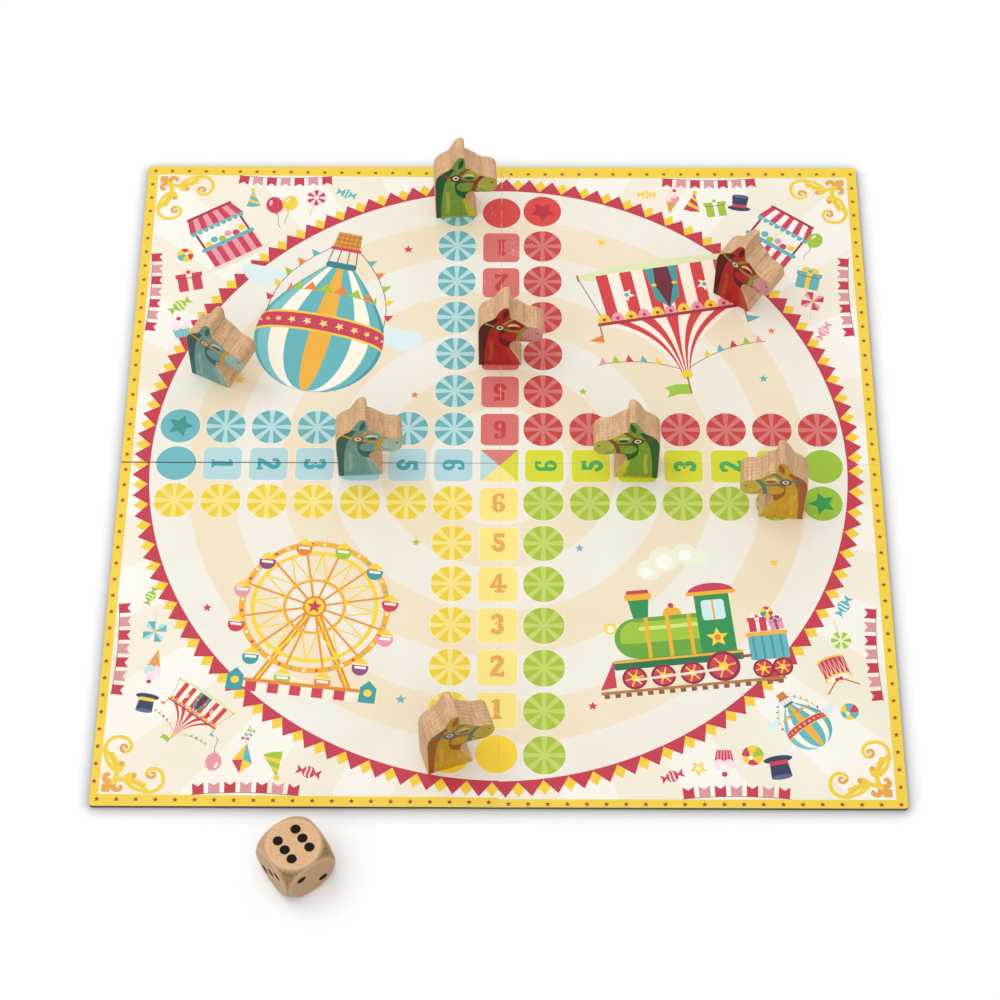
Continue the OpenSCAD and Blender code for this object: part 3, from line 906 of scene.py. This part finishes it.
class Nodes:
    """Short calls for building a material's nodes."""

    def __init__(self, name):
        self.material = bpy.data.materials.new(name)
        self.material.use_nodes = True
        self.tree = self.material.node_tree
        self.shader = self.tree.nodes["Principled BSDF"]

    def add(self, kind, **values):
        n = self.tree.nodes.new("ShaderNode" + kind)
        for k, v in values.items():
            setattr(n, k, v)
        return n

    def join(self, a, b):
        self.tree.links.new(a, b)

    def feed(self, value, socket):
        if hasattr(value, "is_output"):
            self.join(value, socket)
        else:
            socket.default_value = value

    def set(self, node, **values):
        """Values or links for a node's inputs, by name with _ for a space."""
        for name, value in values.items():
            self.feed(value, node.inputs[name.replace("_", " ")])
        return node

    def place(self, source="object", size=(1, 1, 1), turn=(0, 0, 0)):
        if source == "object":
            source = self.add("TexCoord").outputs["Object"]
        elif source == "grain":
            source = self.add("Attribute", attribute_name="grain").outputs["Vector"]
        turn = [math.radians(t) for t in turn]
        return self.set(self.add("Mapping"), Vector=source, Scale=size, Rotation=turn).outputs["Vector"]

    def vector(self, way, a, b):
        m = self.add("VectorMath", operation=way)
        self.feed(a, m.inputs[0])
        self.feed(b, m.inputs[1])
        return m.outputs

    def noise(self, at, scale, detail=3.0, rough=0.55, warp=0.0):
        n = self.add("TexNoise")
        self.set(n, Vector=at, Scale=scale, Detail=detail, Roughness=rough, Distortion=warp)
        return n.outputs["Fac"]

    def wave(self, at, axis, scale, wander, detail=2.0, fine=1.0):
        w = self.add("TexWave", wave_type="BANDS", bands_direction=axis)
        self.set(w, Vector=at, Scale=scale, Distortion=wander, Detail=detail, Detail_Scale=fine)
        return w.outputs["Fac"]

    def ramp(self, value, *stops):
        r = self.add("ValToRGB")
        self.join(value, r.inputs["Fac"])
        e = r.color_ramp.elements
        while len(e) < len(stops):
            e.new(0.5)
        for slot, (at, colour) in zip(e, stops, strict=True):
            slot.position = at
            slot.color = rgb(colour) if isinstance(colour, str) else (colour, colour, colour, 1)
        return r.outputs["Color"]

    def mix(self, fac, a, b, way="MIX"):
        m = self.add("Mix", data_type="RGBA", blend_type=way)
        self.feed(fac, m.inputs["Factor"])
        sockets = [s for s in m.inputs if s.name in ("A", "B") and s.type == "RGBA"]
        for value, socket in zip((a, b), sockets, strict=True):
            self.feed(rgb(value) if isinstance(value, str) else value, socket)
        return next(s for s in m.outputs if s.type == "RGBA")

    def maths(self, way, a, b=0.0, c=0.0):
        m = self.add("Math", operation=way)
        for value, socket in zip((a, b, c), m.inputs, strict=False):
            self.feed(value, socket)
        return m.outputs["Value"]

    def most(self, *values):
        out = values[0]
        for value in values[1:]:
            out = self.maths("MAXIMUM", out, value)
        return out

    def times(self, a, b):
        return self.maths("MULTIPLY", a, b)

    def span(self, value, low, high):
        """value, from 0 to 1, as low to high."""
        return self.set(self.add("MapRange"), Value=value, To_Min=low, To_Max=high).outputs["Result"]

    def bump(self, height, strength, distance, **normal):
        b = self.add("Bump")
        return self.set(b, Height=height, Strength=strength, Distance=distance, **normal).outputs["Normal"]

    def finish(self, colour, rough, specular, **normal):
        self.set(self.shader, Base_Color=colour, Roughness=rough, Specular_IOR_Level=specular, **normal)
        return self.material


def printed_paper():
    k = Nodes("printed_paper")
    at = k.place(size=IN_MM)
    ink = k.add("VertexColor", layer_name="ink").outputs["Color"]
    fibre = k.noise(at, 1.6, 5, 0.65)
    tone = k.noise(at, 0.035, 3, 0.5)
    fleck = k.noise(at, 4.5, 2, 0.6)
    colour = k.mix(0.55, ink, k.ramp(fibre, (0.3, 0.955), (0.7, 1.0)), "MULTIPLY")
    colour = k.mix(0.6, colour, k.ramp(tone, (0.35, "#fbf7ee"), (0.65, "#ffffff")), "MULTIPLY")
    chips = k.ramp(fleck, (0.775, 0.0), (0.80, 1.0))
    colour = k.mix(k.times(chips, 0.35), colour, "#f4efe4")
    rough = k.span(k.noise(at, 0.25, 4, 0.6), 0.40, 0.56)
    return k.finish(colour, rough, 0.35, Normal=k.bump(fibre, 0.10, 0.00004))


def greyboard():
    k = Nodes("greyboard")
    plies = k.noise(k.place(size=(160, 160, 5200)), 1.0, 4, 0.6)
    fibre = k.noise(k.place(size=IN_MM), 2.6, 5, 0.7)
    colour = k.mix(fibre, "#5b5148", "#8b8174")
    colour = k.mix(0.55, colour, k.ramp(plies, (0.3, "#7d746a"), (0.7, "#ffffff")), "MULTIPLY")
    normal = k.bump(k.maths("ADD", fibre, plies), 0.5, 0.00012)
    return k.finish(colour, k.span(fibre, 0.78, 0.95), 0.2, Normal=normal)


def backing_paper():
    k = Nodes("backing_paper")
    at = k.place(size=IN_MM)
    fibre = k.noise(at, 1.8, 5, 0.65)
    linen = k.times(*[k.wave(at, axis, 0.55, 0.6, 1.0) for axis in ("X", "Y")])
    colour = k.mix(fibre, "#cdb98a", "#dcc99c")
    colour = k.mix(k.times(linen, 0.25), colour, "#e9dcb8")
    return k.finish(colour, k.span(fibre, 0.55, 0.72), 0.3, Normal=k.bump(linen, 0.35, 0.00008))


def hinge_cloth():
    k = Nodes("hinge_cloth")
    at = k.place(size=IN_MM)
    weave = k.most(*[k.wave(at, axis, 1.1, 0.9) for axis in ("X", "Y")])
    dust = k.noise(at, 0.4, 4, 0.6)
    colour = k.mix(weave, "#b9ae97", "#ece4d2")
    colour = k.mix(0.5, colour, k.ramp(dust, (0.3, "#d9cdb8"), (0.7, "#ffffff")), "MULTIPLY")
    return k.finish(colour, k.span(dust, 0.8, 0.95), 0.2, Normal=k.bump(weave, 0.6, 0.0001))


def fine_lines(k, at, axis, scale, thin, wander):
    """Thin broken lines across one direction, from 0 to 1."""
    return k.ramp(k.wave(at, axis, scale, wander, 2.0, 0.6), (0.0, 1.0), (thin, 0.0))


def beech_wood():
    """Sawn and sanded beech of a horse: x along the head, y through the wood, z up, in mm."""
    k = Nodes("beech")
    at = k.place("grain")
    figure = k.noise(k.place("grain", (0.22, 0.10, 0.12)), 1.0, 3, 0.5, 0.8)
    streak = k.noise(k.place("grain", (1.0, 0.22, 0.35)), 1.3, 5, 0.65, 0.2)
    pores = k.noise(k.place("grain", (3.0, 0.7, 1.0)), 1.0, 3, 0.6)
    fade = k.ramp(k.noise(at, 0.28, 3, 0.6), (0.38, 0.15), (0.62, 1.0))
    patch = k.ramp(k.noise(at, 0.17, 3, 0.6), (0.40, 0.15), (0.58, 1.0))
    colour = k.mix(figure, "#d7af83", "#edcca8")
    pale = k.ramp(streak, (0.30, "#d3b18c"), (0.52, "#f4e6d4"), (0.68, "#ffffff"))
    colour = k.mix(0.7, colour, pale, "MULTIPLY")
    through = fine_lines(k, k.place("grain", (1, 0.12, 1), (0, 28, 0)), "X", 0.27, 0.13, 3.0)
    along = fine_lines(k, k.place("grain", (0.25, 1, 0.25)), "Y", 0.21, 0.12, 2.6)
    dots = k.ramp(pores, (0.30, 1.0), (0.37, 0.0))
    marks = k.most(k.times(through, fade), k.times(along, patch), k.times(dots, 0.7))
    colour = k.mix(k.times(marks, 0.55), colour, "#906238")
    height = k.maths("SUBTRACT", k.times(streak, 0.5), marks)
    return k.finish(colour, k.span(streak, 0.46, 0.64), 0.35, Normal=k.bump(height, 0.3, 0.00012))


def die_wood():
    """Beech of the die: fine grain on the flats, coarser and darker on the rounded corners."""
    k = Nodes("die_beech")
    middle = [q * MM for q in (*DIE_AT, DIE_W / 2)]
    from_middle = k.vector("SUBTRACT", k.add("TexCoord").outputs["Object"], middle)["Vector"]
    at = k.place(from_middle, IN_MM, (0, 0, -DIE_TURN))
    streak = k.noise(k.place(at, (3.0, 0.7, 3.0)), 1.0, 5, 0.7, 0.2)
    figure = k.noise(k.place(at, (0.25, 0.08, 0.25)), 1.0, 3, 0.5, 0.8)
    coarse = k.noise(k.place(at, (1.7, 0.9, 1.7)), 1.0, 4, 0.75)
    # how far the surface is from the axis of the nearest side, in die widths: the flats end at about 0.45
    size = k.add("VectorMath", operation="ABSOLUTE")
    k.join(at, size.inputs[0])
    parts = k.set(k.add("SeparateXYZ"), Vector=size.outputs["Vector"]).outputs
    most = k.most(parts["X"], parts["Y"], parts["Z"])
    square = k.vector("DOT_PRODUCT", at, at)["Value"]
    off = k.maths("DIVIDE", k.maths("SQRT", k.maths("SUBTRACT", square, k.times(most, most))), DIE_W)
    corner = k.ramp(off, (0.43, 0.0), (0.52, 1.0))
    rim_sheen_and_wear = k.ramp(off, (0.415, 0.0), (0.45, 1.0), (0.49, 0.0))
    colour = k.mix(figure, "#d9ad7e", "#e5c095")
    colour = k.mix(0.7, colour, k.ramp(streak, (0.30, "#d6b189"), (0.60, "#ffffff")), "MULTIPLY")
    rounded = k.mix(k.ramp(coarse, (0.35, 0.0), (0.65, 1.0)), "#61492b", "#b58f60")
    # the rounded corners grow darker and coarser towards the die's -Y side
    towards = k.set(k.add("SeparateXYZ"), Vector=at).outputs["Y"]
    towards_minus_y = k.maths("MULTIPLY_ADD", towards, -1 / DIE_W, 0.5)
    corner = k.times(corner, k.ramp(towards_minus_y, (0.25, 0.30), (0.75, 0.95)))
    colour = k.mix(corner, colour, rounded)
    # pale ring round the edge of each flat: partly wear, partly a painted highlight
    colour = k.mix(k.times(rim_sheen_and_wear, 0.3), colour, "#f6dcb6")
    height = k.maths("ADD", k.times(streak, 0.4), k.times(k.times(coarse, corner), 0.6))
    soft = k.set(k.add("Bevel", samples=6), Radius=0.0006).outputs["Normal"]
    normal = k.bump(height, 0.25, 0.0001, Normal=soft)
    return k.finish(colour, k.span(streak, 0.42, 0.58), 0.4, Normal=normal)


def painted_beech():
    k = Nodes("painted_beech")
    ink = k.add("VertexColor", layer_name="ink").outputs["Color"]
    grain = k.noise(k.place("grain", (1.0, 1.0, 0.14)), 1.5, 5, 0.65, 0.2)
    pores = k.noise(k.place("grain", (3.4, 3.4, 0.5)), 1.0, 3, 0.6)
    blot = k.noise(k.place("grain"), 0.35, 4, 0.6)
    colour = k.mix(0.6, ink, k.ramp(grain, (0.3, "#cfc2b4"), (0.62, "#ffffff")), "MULTIPLY")
    colour = k.mix(0.6, colour, k.ramp(blot, (0.3, "#e2dad2"), (0.7, "#ffffff")), "MULTIPLY")
    dots = k.ramp(pores, (0.28, 1.0), (0.35, 0.0))
    colour = k.mix(k.times(dots, 0.28), colour, "#5a4030", "MULTIPLY")
    height = k.maths("SUBTRACT", k.times(grain, 0.5), k.times(dots, 0.6))
    return k.finish(colour, k.span(blot, 0.30, 0.48), 0.22, Normal=k.bump(height, 0.25, 0.0001))


def pip_paint():
    k = Nodes("pip_paint")
    blot = k.noise(k.place(size=IN_MM), 1.3, 4, 0.6)
    colour = k.mix(blot, "#0b0a0a", "#1c1918")
    return k.finish(colour, k.span(blot, 0.55, 0.75), 0.1, Normal=k.bump(blot, 0.4, 0.0001))


PRINT, GREY, BACK, CLOTH = printed_paper(), greyboard(), backing_paper(), hinge_cloth()
WOOD, DIE_WOOD, PAINT, PIP = beech_wood(), die_wood(), painted_beech(), pip_paint()
CAD_LOOKS = {"core": GREY, "backing": BACK, "hinge": CLOTH, "die": DIE_WOOD}

for name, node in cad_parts.items():
    node.data.materials.clear()
    node.data.materials.append(CAD_LOOKS.get(name.split("_")[0], WOOD))


def printed_sheet(quarter, sx, sy):
    """The sheet of one panel: the print as coloured faces, with a pale edge and a pale underside."""
    x0, x1 = sorted((0, sx * HALF))
    y0, y1 = sorted((0, sy * HALF))
    drawing = printed(art(quarter), quarter) + lanes() + border(quarter, sx, sy) + wear(sx, sy)
    points, tris, inks = flat_print(sheet_outline(sx, sy), WHITE, clipped(drawing, x0, y0, x1, y1))
    loop = rim(tris)
    n, m = len(points), len(loop)
    verts = [(x * MM, (y + BOARD_Y) * MM, TOP_Z * MM) for x, y in points]
    verts += [(verts[v][0], verts[v][1], (TOP_Z - SHEET_T) * MM) for v in loop]
    sides = [[loop[i], n + i, n + (i + 1) % m, loop[(i + 1) % m]] for i in range(m)]
    faces = tris + sides + [[n + i for i in range(m)][::-1]]
    # the texture square: the print, a narrow underside on its right and the edge above them
    pad, part = 0.004, 0.92

    def spot(v, start, wide):
        x, y = points[v]
        return (start + wide * (x - x0) / HALF, pad + part * (y - y0) / HALF)

    uv = [spot(v, pad, part) for t in tris for v in t]
    for i in range(m):
        a, b = pad + part * i / m, pad + part * (i + 1) / m
        uv += [(a, 0.97), (a, 0.94), (b, 0.94), (b, 0.97)]
    uv += [spot(v, 0.94, 0.05) for v in loop[::-1]]
    colours = inks + [SHEET_EDGE] * (m + 1)
    sheet = mesh_object("print_" + quarter, verts, faces, [PRINT], inks=colours, uv=uv)
    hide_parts("sheet_" + quarter)
    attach(sheet, quarter + "_panel")


for quarter, (sx, sy) in QUARTERS.items():
    printed_sheet(quarter, sx, sy)

# Cloth of the hinges across the three creases, between the leaves let into the panels
STRIP = 12  # steps across a strip


def crease(name, across, along, ends, z0, z1):
    """A thin strip across the gap between two panels. across and along are the axes, 0 for X and 1 for Y."""
    verts, faces = [], []
    for end in ends:
        for z in (z0, z1):
            for i in range(STRIP + 1):
                p = [0.0, 0.0, z * MM]
                p[across] = CREASE * (2 * i / STRIP - 1) * MM
                p[along] = end * MM
                p[1] += BOARD_Y * MM
                verts.append(tuple(p))
    n = STRIP + 1
    for i in range(STRIP):
        faces += [[i, i + 1, 2 * n + i + 1, 2 * n + i], [n + i, 3 * n + i, 3 * n + i + 1, n + i + 1]]
        faces += [[i, n + i, n + i + 1, i + 1], [2 * n + i, 2 * n + i + 1, 3 * n + i + 1, 3 * n + i]]
    faces += [[0, 2 * n, 3 * n, n], [STRIP, n + STRIP, 3 * n + STRIP, 2 * n + STRIP]]
    if (across, along) == (0, 1):
        faces = [f[::-1] for f in faces]
    strip = mesh_object(name, verts, faces, [CLOTH])
    start, end = Vector((0, BOARD_Y * MM, 0)), Vector((0, BOARD_Y * MM, 0))
    start[across] -= CREASE * MM
    end[across] += CREASE * MM
    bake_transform(strip)


crease("crease_rear", 0, 1, (CUT, HALF), 1.32, 1.48)
crease("crease_front", 0, 1, (-HALF, -CUT), 1.32, 1.48)
crease("crease_side", 1, 0, (CREASE, HALF), 0.02, 0.18)

# Horses: the plank's foot, depth and eased edge, and its outline from the foot over the head to the back
BASE, DEPTH, EDGE = 16.2, 10.0, 0.22
OUTLINE = [(0, 0)] + chain(
    (BASE, 0),
    ((15.9, 3.6), (13.6, 7.6), (12.2, 11.2)), ((11.6, 12.8), (12.2, 14.9), (13.4, 15.4)),
    ((15, 16.1), (17.2, 14.9), (19.8, 14.7)), ((22.6, 14.5), (24.2, 16.6), (24.2, 19.6)),
    ((24.2, 22), (23.2, 23.8), (21.4, 24.2)), ((20.4, 24.4), (19.4, 24.5), (18.6, 24.9)),
    ((16.9, 25.9), (14.6, 29.4), (12.6, 29.9)), ((11.9, 30.1), (12.2, 32), (12, 33.4)),
    ((11.9, 35), (11.9, 36.5), (10.6, 36.5)), ((8.8, 36.5), (7.6, 33.4), (6.2, 30.2)),
    ((5.4, 28.6), (2.2, 27.9), (0.9, 24.9)), ((0.2, 23.4), (0, 21.5), (0, 19.5)),
)
# Where each horse stands, in cells from the middle of the board, and its turn
PLACES = {
    "green_1": (-1.06, 7.04, 3.8), "green_2": (2.94, -0.07, 178.4),
    "red_1": (-0.02, 2.89, -0.3), "red_2": (5.34, 4.58, -34.4),
    "teal_1": (-6.3, 2.42, -26.3), "teal_2": (-3.04, -0.03, 3.3),
    "yellow_1": (6.03, -1.09, 176.0), "yellow_2": (-1.06, -7.09, 18.9),
}


def face(coat):
    """A horse head in profile, with a mane, a halter, a lowered eye and a round pale muzzle."""
    k = COATS[coat]
    # light on the chest, the neck, the foot and the forehead
    out = [
        (k["chest"], path(
            bezier((16.6, 0), (15.9, 3.6), (13.6, 7.6), (12.2, 11.6)),
            bezier((10.6, 11.2), (11.0, 7.4), (12.2, 3.6), (12.9, 0), 6),
        )),
        (k["streak"], path(
            bezier((3.7, 3.0), (4.5, 7.0), (4.5, 11.0), (4.1, 15.8), 6),
            bezier((5.6, 16.0), (5.9, 11.0), (5.7, 7.0), (5.1, 2.8), 6),
        )),
        (k["chest"], box(2.0, 0.45, 17.0, 0.95)),
        (k["brow"], [(12.4, 28.0), (14.6, 30.2), (20.0, 26.0), (17.6, 23.4), (15.4, 25.2)]),
    ]
    # shadow of the jaw, with the cheek on it
    jaw = chain(
        (8.2, 22.8), ((7.4, 18.4), (7.4, 13.2), (11.0, 11.9)), ((12.8, 11.7), (13.6, 13.2), (14.2, 14.6), 5),
    )
    out.append((k["jaw"], jaw + [(15.2, 16.6), (13.0, 21.0), (9.5, 22.8)]))
    out.append((k["body"], disc(11.7, 18.5, 3.3, 24, 2.75, -14)))
    # mane, with a few strands
    mane = chain((2.1, 0), ((2.3, 7), (2.6, 14), (3.8, 20)), ((4.6, 23.6), (6.0, 26.2), (7.9, 29.0), 6))
    out.append((k["mane"], [(-1, -1), (2.1, -1)] + mane + [(8.0, 31), (6.0, 33), (-1, 33)]))
    for x in (0.5, 1.2):
        strand = chain(
            (x, 1), ((x + 0.1, 8), (x + 0.3, 15), (x + 1.5, 21.5)),
            ((x + 2.2, 24.4), (x + 3.4, 26.6), (x + 4.9, 28.6), 5),
        )
        out.append((k["jaw"], stroke(strand, 0.14, 0.3)))
    # ear
    out.append((k["body"], [(6.3, 30.0), (8.7, 37), (13, 37), (12.6, 29.6), (9, 28.4)]))
    out.append((k["mane"], path(
        bezier((9.2, 29.3), (8.7, 31.8), (9.9, 34.6), (11.3, 35.4), 7),
        bezier((11.3, 33.2), (11.2, 31.2), (10.9, 30.0), (9.2, 29.3), 6),
    )))
    # muzzle, mouth and nostril
    out.append((k["muzzle"], disc(20.2, 19.9, 5.0, 36, 4.8)))
    out.append((k["jaw"], stroke(arc(20.2, 19.9, 4.1, 188, 268, 8, 3.9), 0.36)))
    out.append((k["jaw"], disc(22.2, 20.6, 0.48, 12, 0.44)))
    # halter and its button
    for line, width in (
        (bezier((19.6, 25.4), (16.6, 23.6), (15.1, 20.4), (14.8, 14.8), 10), 1.6),
        (bezier((8.3, 24.0), (10.4, 22.3), (13.0, 21.4), (15.8, 21.6), 6), 1.15),
        (bezier((8.3, 24.0), (9.5, 26.0), (11.4, 28.4), (14.4, 30.0), 6), 1.1),
        (bezier((8.3, 24.0), (6.4, 24.4), (4.4, 25.4), (1.6, 27.4), 6), 1.0),
    ):
        out.append((k["strap"], stroke(line, width)))
    for colour, r in ((k["knot"], 2.1), (BUTTON, 1.3), (k["knot"], 0.6)):
        out.append((colour, disc(8.2, 24.0, r, 20)))
    # eye: the pale lid over a dark crescent
    out.append((k["lid"], path(
        bezier((10.9, 24.5), (11.4, 27.0), (14.4, 27.4), (15.7, 24.2), 10),
        bezier((14.2, 24.9), (13.2, 24.9), (12.0, 24.8), (10.9, 24.5), 6),
    )))
    out.append((k["jaw"], path(
        bezier((11.4, 24.6), (12.6, 25.0), (14.0, 24.9), (15.2, 24.3)),
        bezier((14.6, 23.0), (13.0, 22.7), (12.0, 23.2), (11.4, 24.6), 6),
    )))
    return out


def outward(points):
    """Unit directions out of an anticlockwise loop, lengthened at corners."""
    out, n = [], len(points)
    for i in range(n):
        a, p, b = points[i - 1], points[i], points[(i + 1) % n]
        u, v = (p[0] - a[0], p[1] - a[1]), (b[0] - p[0], b[1] - p[1])
        lu, lv = math.hypot(*u) or 1, math.hypot(*v) or 1
        n1, n2 = (u[1] / lu, -u[0] / lu), (v[1] / lv, -v[0] / lv)
        s = (n1[0] + n2[0], n1[1] + n2[1])
        d = max(0.6, 1 + n1[0] * n2[0] + n1[1] * n2[1])
        out.append((s[0] / d, s[1] / d))
    return out


def grown(points, by):
    """A loop moved outward by that much."""
    return [(p[0] + by * d[0], p[1] + by * d[1]) for p, d in zip(points, outward(points), strict=True)]


def edge_uv(edge, depths):
    """Places in the texture square for the sides of a plank, unrolled in two rows."""
    margin, run, first_row, second_row, per_mm = 0.005, 0.98, 0.615, 0.81, 0.0175
    m, length, uv = len(edge), [0.0], []
    for i in range(m):
        length.append(length[-1] + math.dist(edge[i], edge[(i + 1) % m]))
    half = length[-1] / 2
    for top, bottom in zip(depths, depths[1:]):
        for i in range(m):
            row, start = (second_row, half) if length[i] >= half else (first_row, 0.0)
            x0, x1 = [margin + run * min(1.0, (q - start) / half) for q in (length[i], length[i + 1])]
            y0, y1 = row + per_mm * top, row + per_mm * bottom
            uv += [(x1, y0), (x0, y0), (x0, y1), (x1, y1)]
    return uv


def horse(number, name, cx, cy, yaw):
    """A wooden horse with both painted faces, eased edges and grain of its own."""
    coat, h = name.split("_")[0], DEPTH / 2
    points, tris, inks = flat_print(grown(OUTLINE, -EDGE), COATS[coat]["body"], face(coat))
    loop = rim(tris)
    n, m = len(points), len(loop)
    edge = [points[v] for v in loop]
    local = [(x, -h, z) for x, z in points] + [(x, h, z) for x, z in points]
    for y in (-h + EDGE, -h / 3, h / 3, h - EDGE):
        local += [(x, y, max(z, 0.0)) for x, z in grown(edge, EDGE)]
    # both faces, side by side in the texture square, then the strips from one to the other
    faces, uv, margin, second, per_mm = [], [], 0.005, 0.405, 0.0163
    for t in tris:
        faces += [t, [n + v for v in t[::-1]]]
        for start, corners in ((margin, t), (second, t[::-1])):
            uv += [(start + per_mm * points[v][0], margin + per_mm * points[v][1]) for v in corners]
    strips = [loop] + [[2 * n + r * m + i for i in range(m)] for r in range(4)] + [[n + v for v in loop]]
    for upper, lower in zip(strips, strips[1:]):
        for i in range(m):
            j = (i + 1) % m
            faces.append([upper[j], upper[i], lower[i], lower[j]])
    uv += edge_uv(edge, [0, 0.3, 3.5, 6.5, 9.7, 10])
    sides = len(faces) - 2 * len(tris)
    slots = [0] * (2 * len(tris)) + [1] * sides
    colours = [c for c in inks for _ in (0, 1)] + ["#ffffff"] * sides
    c, s = cosine(yaw), sine(yaw)
    verts = []
    for x, y, z in local:
        x -= BASE / 2
        east, north = cx * CELL + c * x - s * y, BOARD_Y + cy * CELL + s * x + c * y
        verts.append((east * MM, north * MM, (TOP_Z + max(z, 0.0)) * MM))
    grain = [(x + 61 * number, y + 23 * number, z + 47 * number) for x, y, z in local]
    pawn = mesh_object("pawn_" + name, verts, faces, [PAINT, WOOD], slots, colours, uv, grain, 38)
    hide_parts("horse_" + name)
    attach(pawn, name + "_horse")


for number, (name, (cx, cy, yaw)) in enumerate(PLACES.items()):
    horse(number, name, cx, cy, yaw)

# Pips of the die: their rows, size and ring of points, and how each side is turned up
ROW, COLUMN, PIP_R, PIP_DEEP, PIP_POINTS = 4.06, 3.56, 1.7, 0.5, 28
ONE, PAIR, OTHER_PAIR = [(0, 0)], [(-ROW, ROW), (ROW, -ROW)], [(ROW, ROW), (-ROW, -ROW)]
SPOTS = {
    1: ONE, 2: PAIR, 3: ONE + PAIR, 4: PAIR + OTHER_PAIR, 5: ONE + PAIR + OTHER_PAIR,
    6: [(sx * COLUMN, i * ROW) for sx in (-1, 1) for i in (-1, 0, 1)],
}
TURNS = {6: (0, "X"), 1: (180, "X"), 2: (90, "X"), 5: (-90, "X"), 3: (-90, "Y"), 4: (90, "Y")}


def die_pips():
    """The paint in the drilled pips, dished in the middle."""
    verts, faces, seg = [], [], PIP_POINTS
    r = PIP_R - 0.03
    rings = ((r, -PIP_DEEP + 0.02), (r, -0.17), (r - 0.12, -0.09), (r * 0.6, -0.16))
    place = Matrix.Translation((*DIE_AT, DIE_W / 2)) @ Matrix.Rotation(math.radians(DIE_TURN), 4, "Z")
    for count, (angle, axis) in TURNS.items():
        side = place @ Matrix.Rotation(math.radians(angle), 4, axis)
        for px, py in SPOTS[count]:
            start = len(verts)
            local = [(*polar(reach, 360 * i / seg, px, py), z) for reach, z in rings for i in range(seg)]
            for x, y, z in local + [(px, py, -0.2)]:
                verts.append(tuple((side @ Vector((x, y, DIE_W / 2 + z))) * MM))
            for low in range(start, start + 3 * seg, seg):
                for i in range(seg):
                    j = (i + 1) % seg
                    faces.append([low + i, low + j, low + seg + j, low + seg + i])
            top = start + 3 * seg
            faces += [[top + i, top + (i + 1) % seg, top + seg] for i in range(seg)]
            faces.append([start + i for i in range(seg)][::-1])
    pips = mesh_object("die_pips", verts, faces, [PIP], smooth=40)
    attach(pips, "die")


die_pips()

# Floor, light and camera
SEEN_BY = ("Is Camera Ray", "Is Glossy Ray", "Is Transmission Ray")


def table_top():
    """A table that is white to the eye, with a painted contact shade, and grey to the light it throws back.
    """
    k = Nodes("table")
    # painted shade: occlusion near the board, through a steep ramp, darkens the floor's colour
    near = k.set(k.add("AmbientOcclusion", samples=16, only_local=False), Distance=0.0076).outputs["AO"]
    dark = ((0.5, 0.58), (0.6875, 0.64), (0.8125, 0.70), (0.875, 0.74), (0.9375, 0.80), (1.0, 1.0))
    shade = k.ramp(near, *dark)
    # none is added round the die: it stands taller, and the lamps alone darken the floor enough
    die_foot, die_shade = (DIE_AT[0] * MM, DIE_AT[1] * MM - 0.005, 0), 0.027
    from_die = k.vector("DISTANCE", k.add("TexCoord").outputs["Object"], die_foot)["Value"]
    away = k.ramp(k.maths("DIVIDE", from_die, die_shade), (0.74, 0.0), (1.0, 1.0))
    rays = k.add("LightPath").outputs
    shown = k.most(*[rays[kind] for kind in SEEN_BY])
    return k.finish(k.mix(shown, "#8a8a8a", k.mix(away, "#ffffff", shade)), 0.9, 0.0)


floor_mesh = bpy.data.meshes.new("floor")
floor_mesh.from_pydata([(-6, -6, 0), (6, -6, 0), (6, 6, 0), (-6, 6, 0)], [], [(0, 1, 2, 3)])
floor_mesh.materials.append(table_top())
floor = linked("floor", floor_mesh)
floor.location.z = -0.00005


def background():
    """White to the eye, and dimmer as a light."""
    world = bpy.context.scene.world or bpy.data.worlds.new("world")
    bpy.context.scene.world = world
    world.use_nodes = True
    tree = world.node_tree
    tree.nodes.clear()
    out, choose, rays = [tree.nodes.new("ShaderNode" + n) for n in ("OutputWorld", "MixShader", "LightPath")]
    for socket, strength in ((1, 0.70), (2, 1.0)):
        plain = tree.nodes.new("ShaderNodeBackground")
        plain.inputs["Color"].default_value = (1, 1, 1, 1)
        plain.inputs["Strength"].default_value = strength
        tree.links.new(plain.outputs["Background"], choose.inputs[socket])
    seen = choose.inputs["Fac"]
    for kind in SEEN_BY:
        most = tree.nodes.new("ShaderNodeMath")
        most.operation = "MAXIMUM"
        most.inputs[1].default_value = 0.0
        tree.links.new(rays.outputs[kind], most.inputs[0])
        tree.links.new(most.outputs["Value"], seen)
        seen = most.inputs[1]
    tree.links.new(choose.outputs["Shader"], out.inputs["Surface"])


background()


def lamp(name, kind, at, aim, power):
    data = bpy.data.lights.new(name, kind)
    data.energy = power
    obj = linked(name, data)
    obj.location = at
    obj.rotation_euler = (Vector(aim) - Vector(at)).to_track_quat("-Z", "Y").to_euler()
    return data


lamp("window", "SUN", (-0.20, -0.40, 1.0), (0, 0, 0), 0.83).angle = math.radians(80)
key = lamp("key", "AREA", (-0.6, 0.3, 1.2), (-0.02, 0.04, 0), 3.15)
key.shape, key.size = "DISK", 1.0

# The photo's camera: its angles, its distance in metres and how far before the board's middle it aims, in mm
YAW, ELEVATION, ROLL, DISTANCE, AIM = 0.504, 57.757, -0.245, 0.99026, 16.07
back = Vector((sine(YAW) * cosine(ELEVATION), -cosine(YAW) * cosine(ELEVATION), sine(ELEVATION)))
right = Vector((cosine(YAW), sine(YAW), 0))
up = back.cross(right)
right, up = cosine(ROLL) * right + sine(ROLL) * up, -sine(ROLL) * right + cosine(ROLL) * up
cam_data = bpy.data.cameras.new("camera")
cam_data.lens, cam_data.sensor_width, cam_data.sensor_fit = 97.44, 36.0, "HORIZONTAL"
camera = linked("camera", cam_data)
eye = Vector((0, (BOARD_Y - AIM) * MM, TOP_Z * MM)) + back * DISTANCE
camera.matrix_world = Matrix.Translation(eye) @ Matrix((right, up, back)).transposed().to_4x4()
bpy.context.scene.camera = camera
bpy.context.scene.view_settings.view_transform = "Standard"
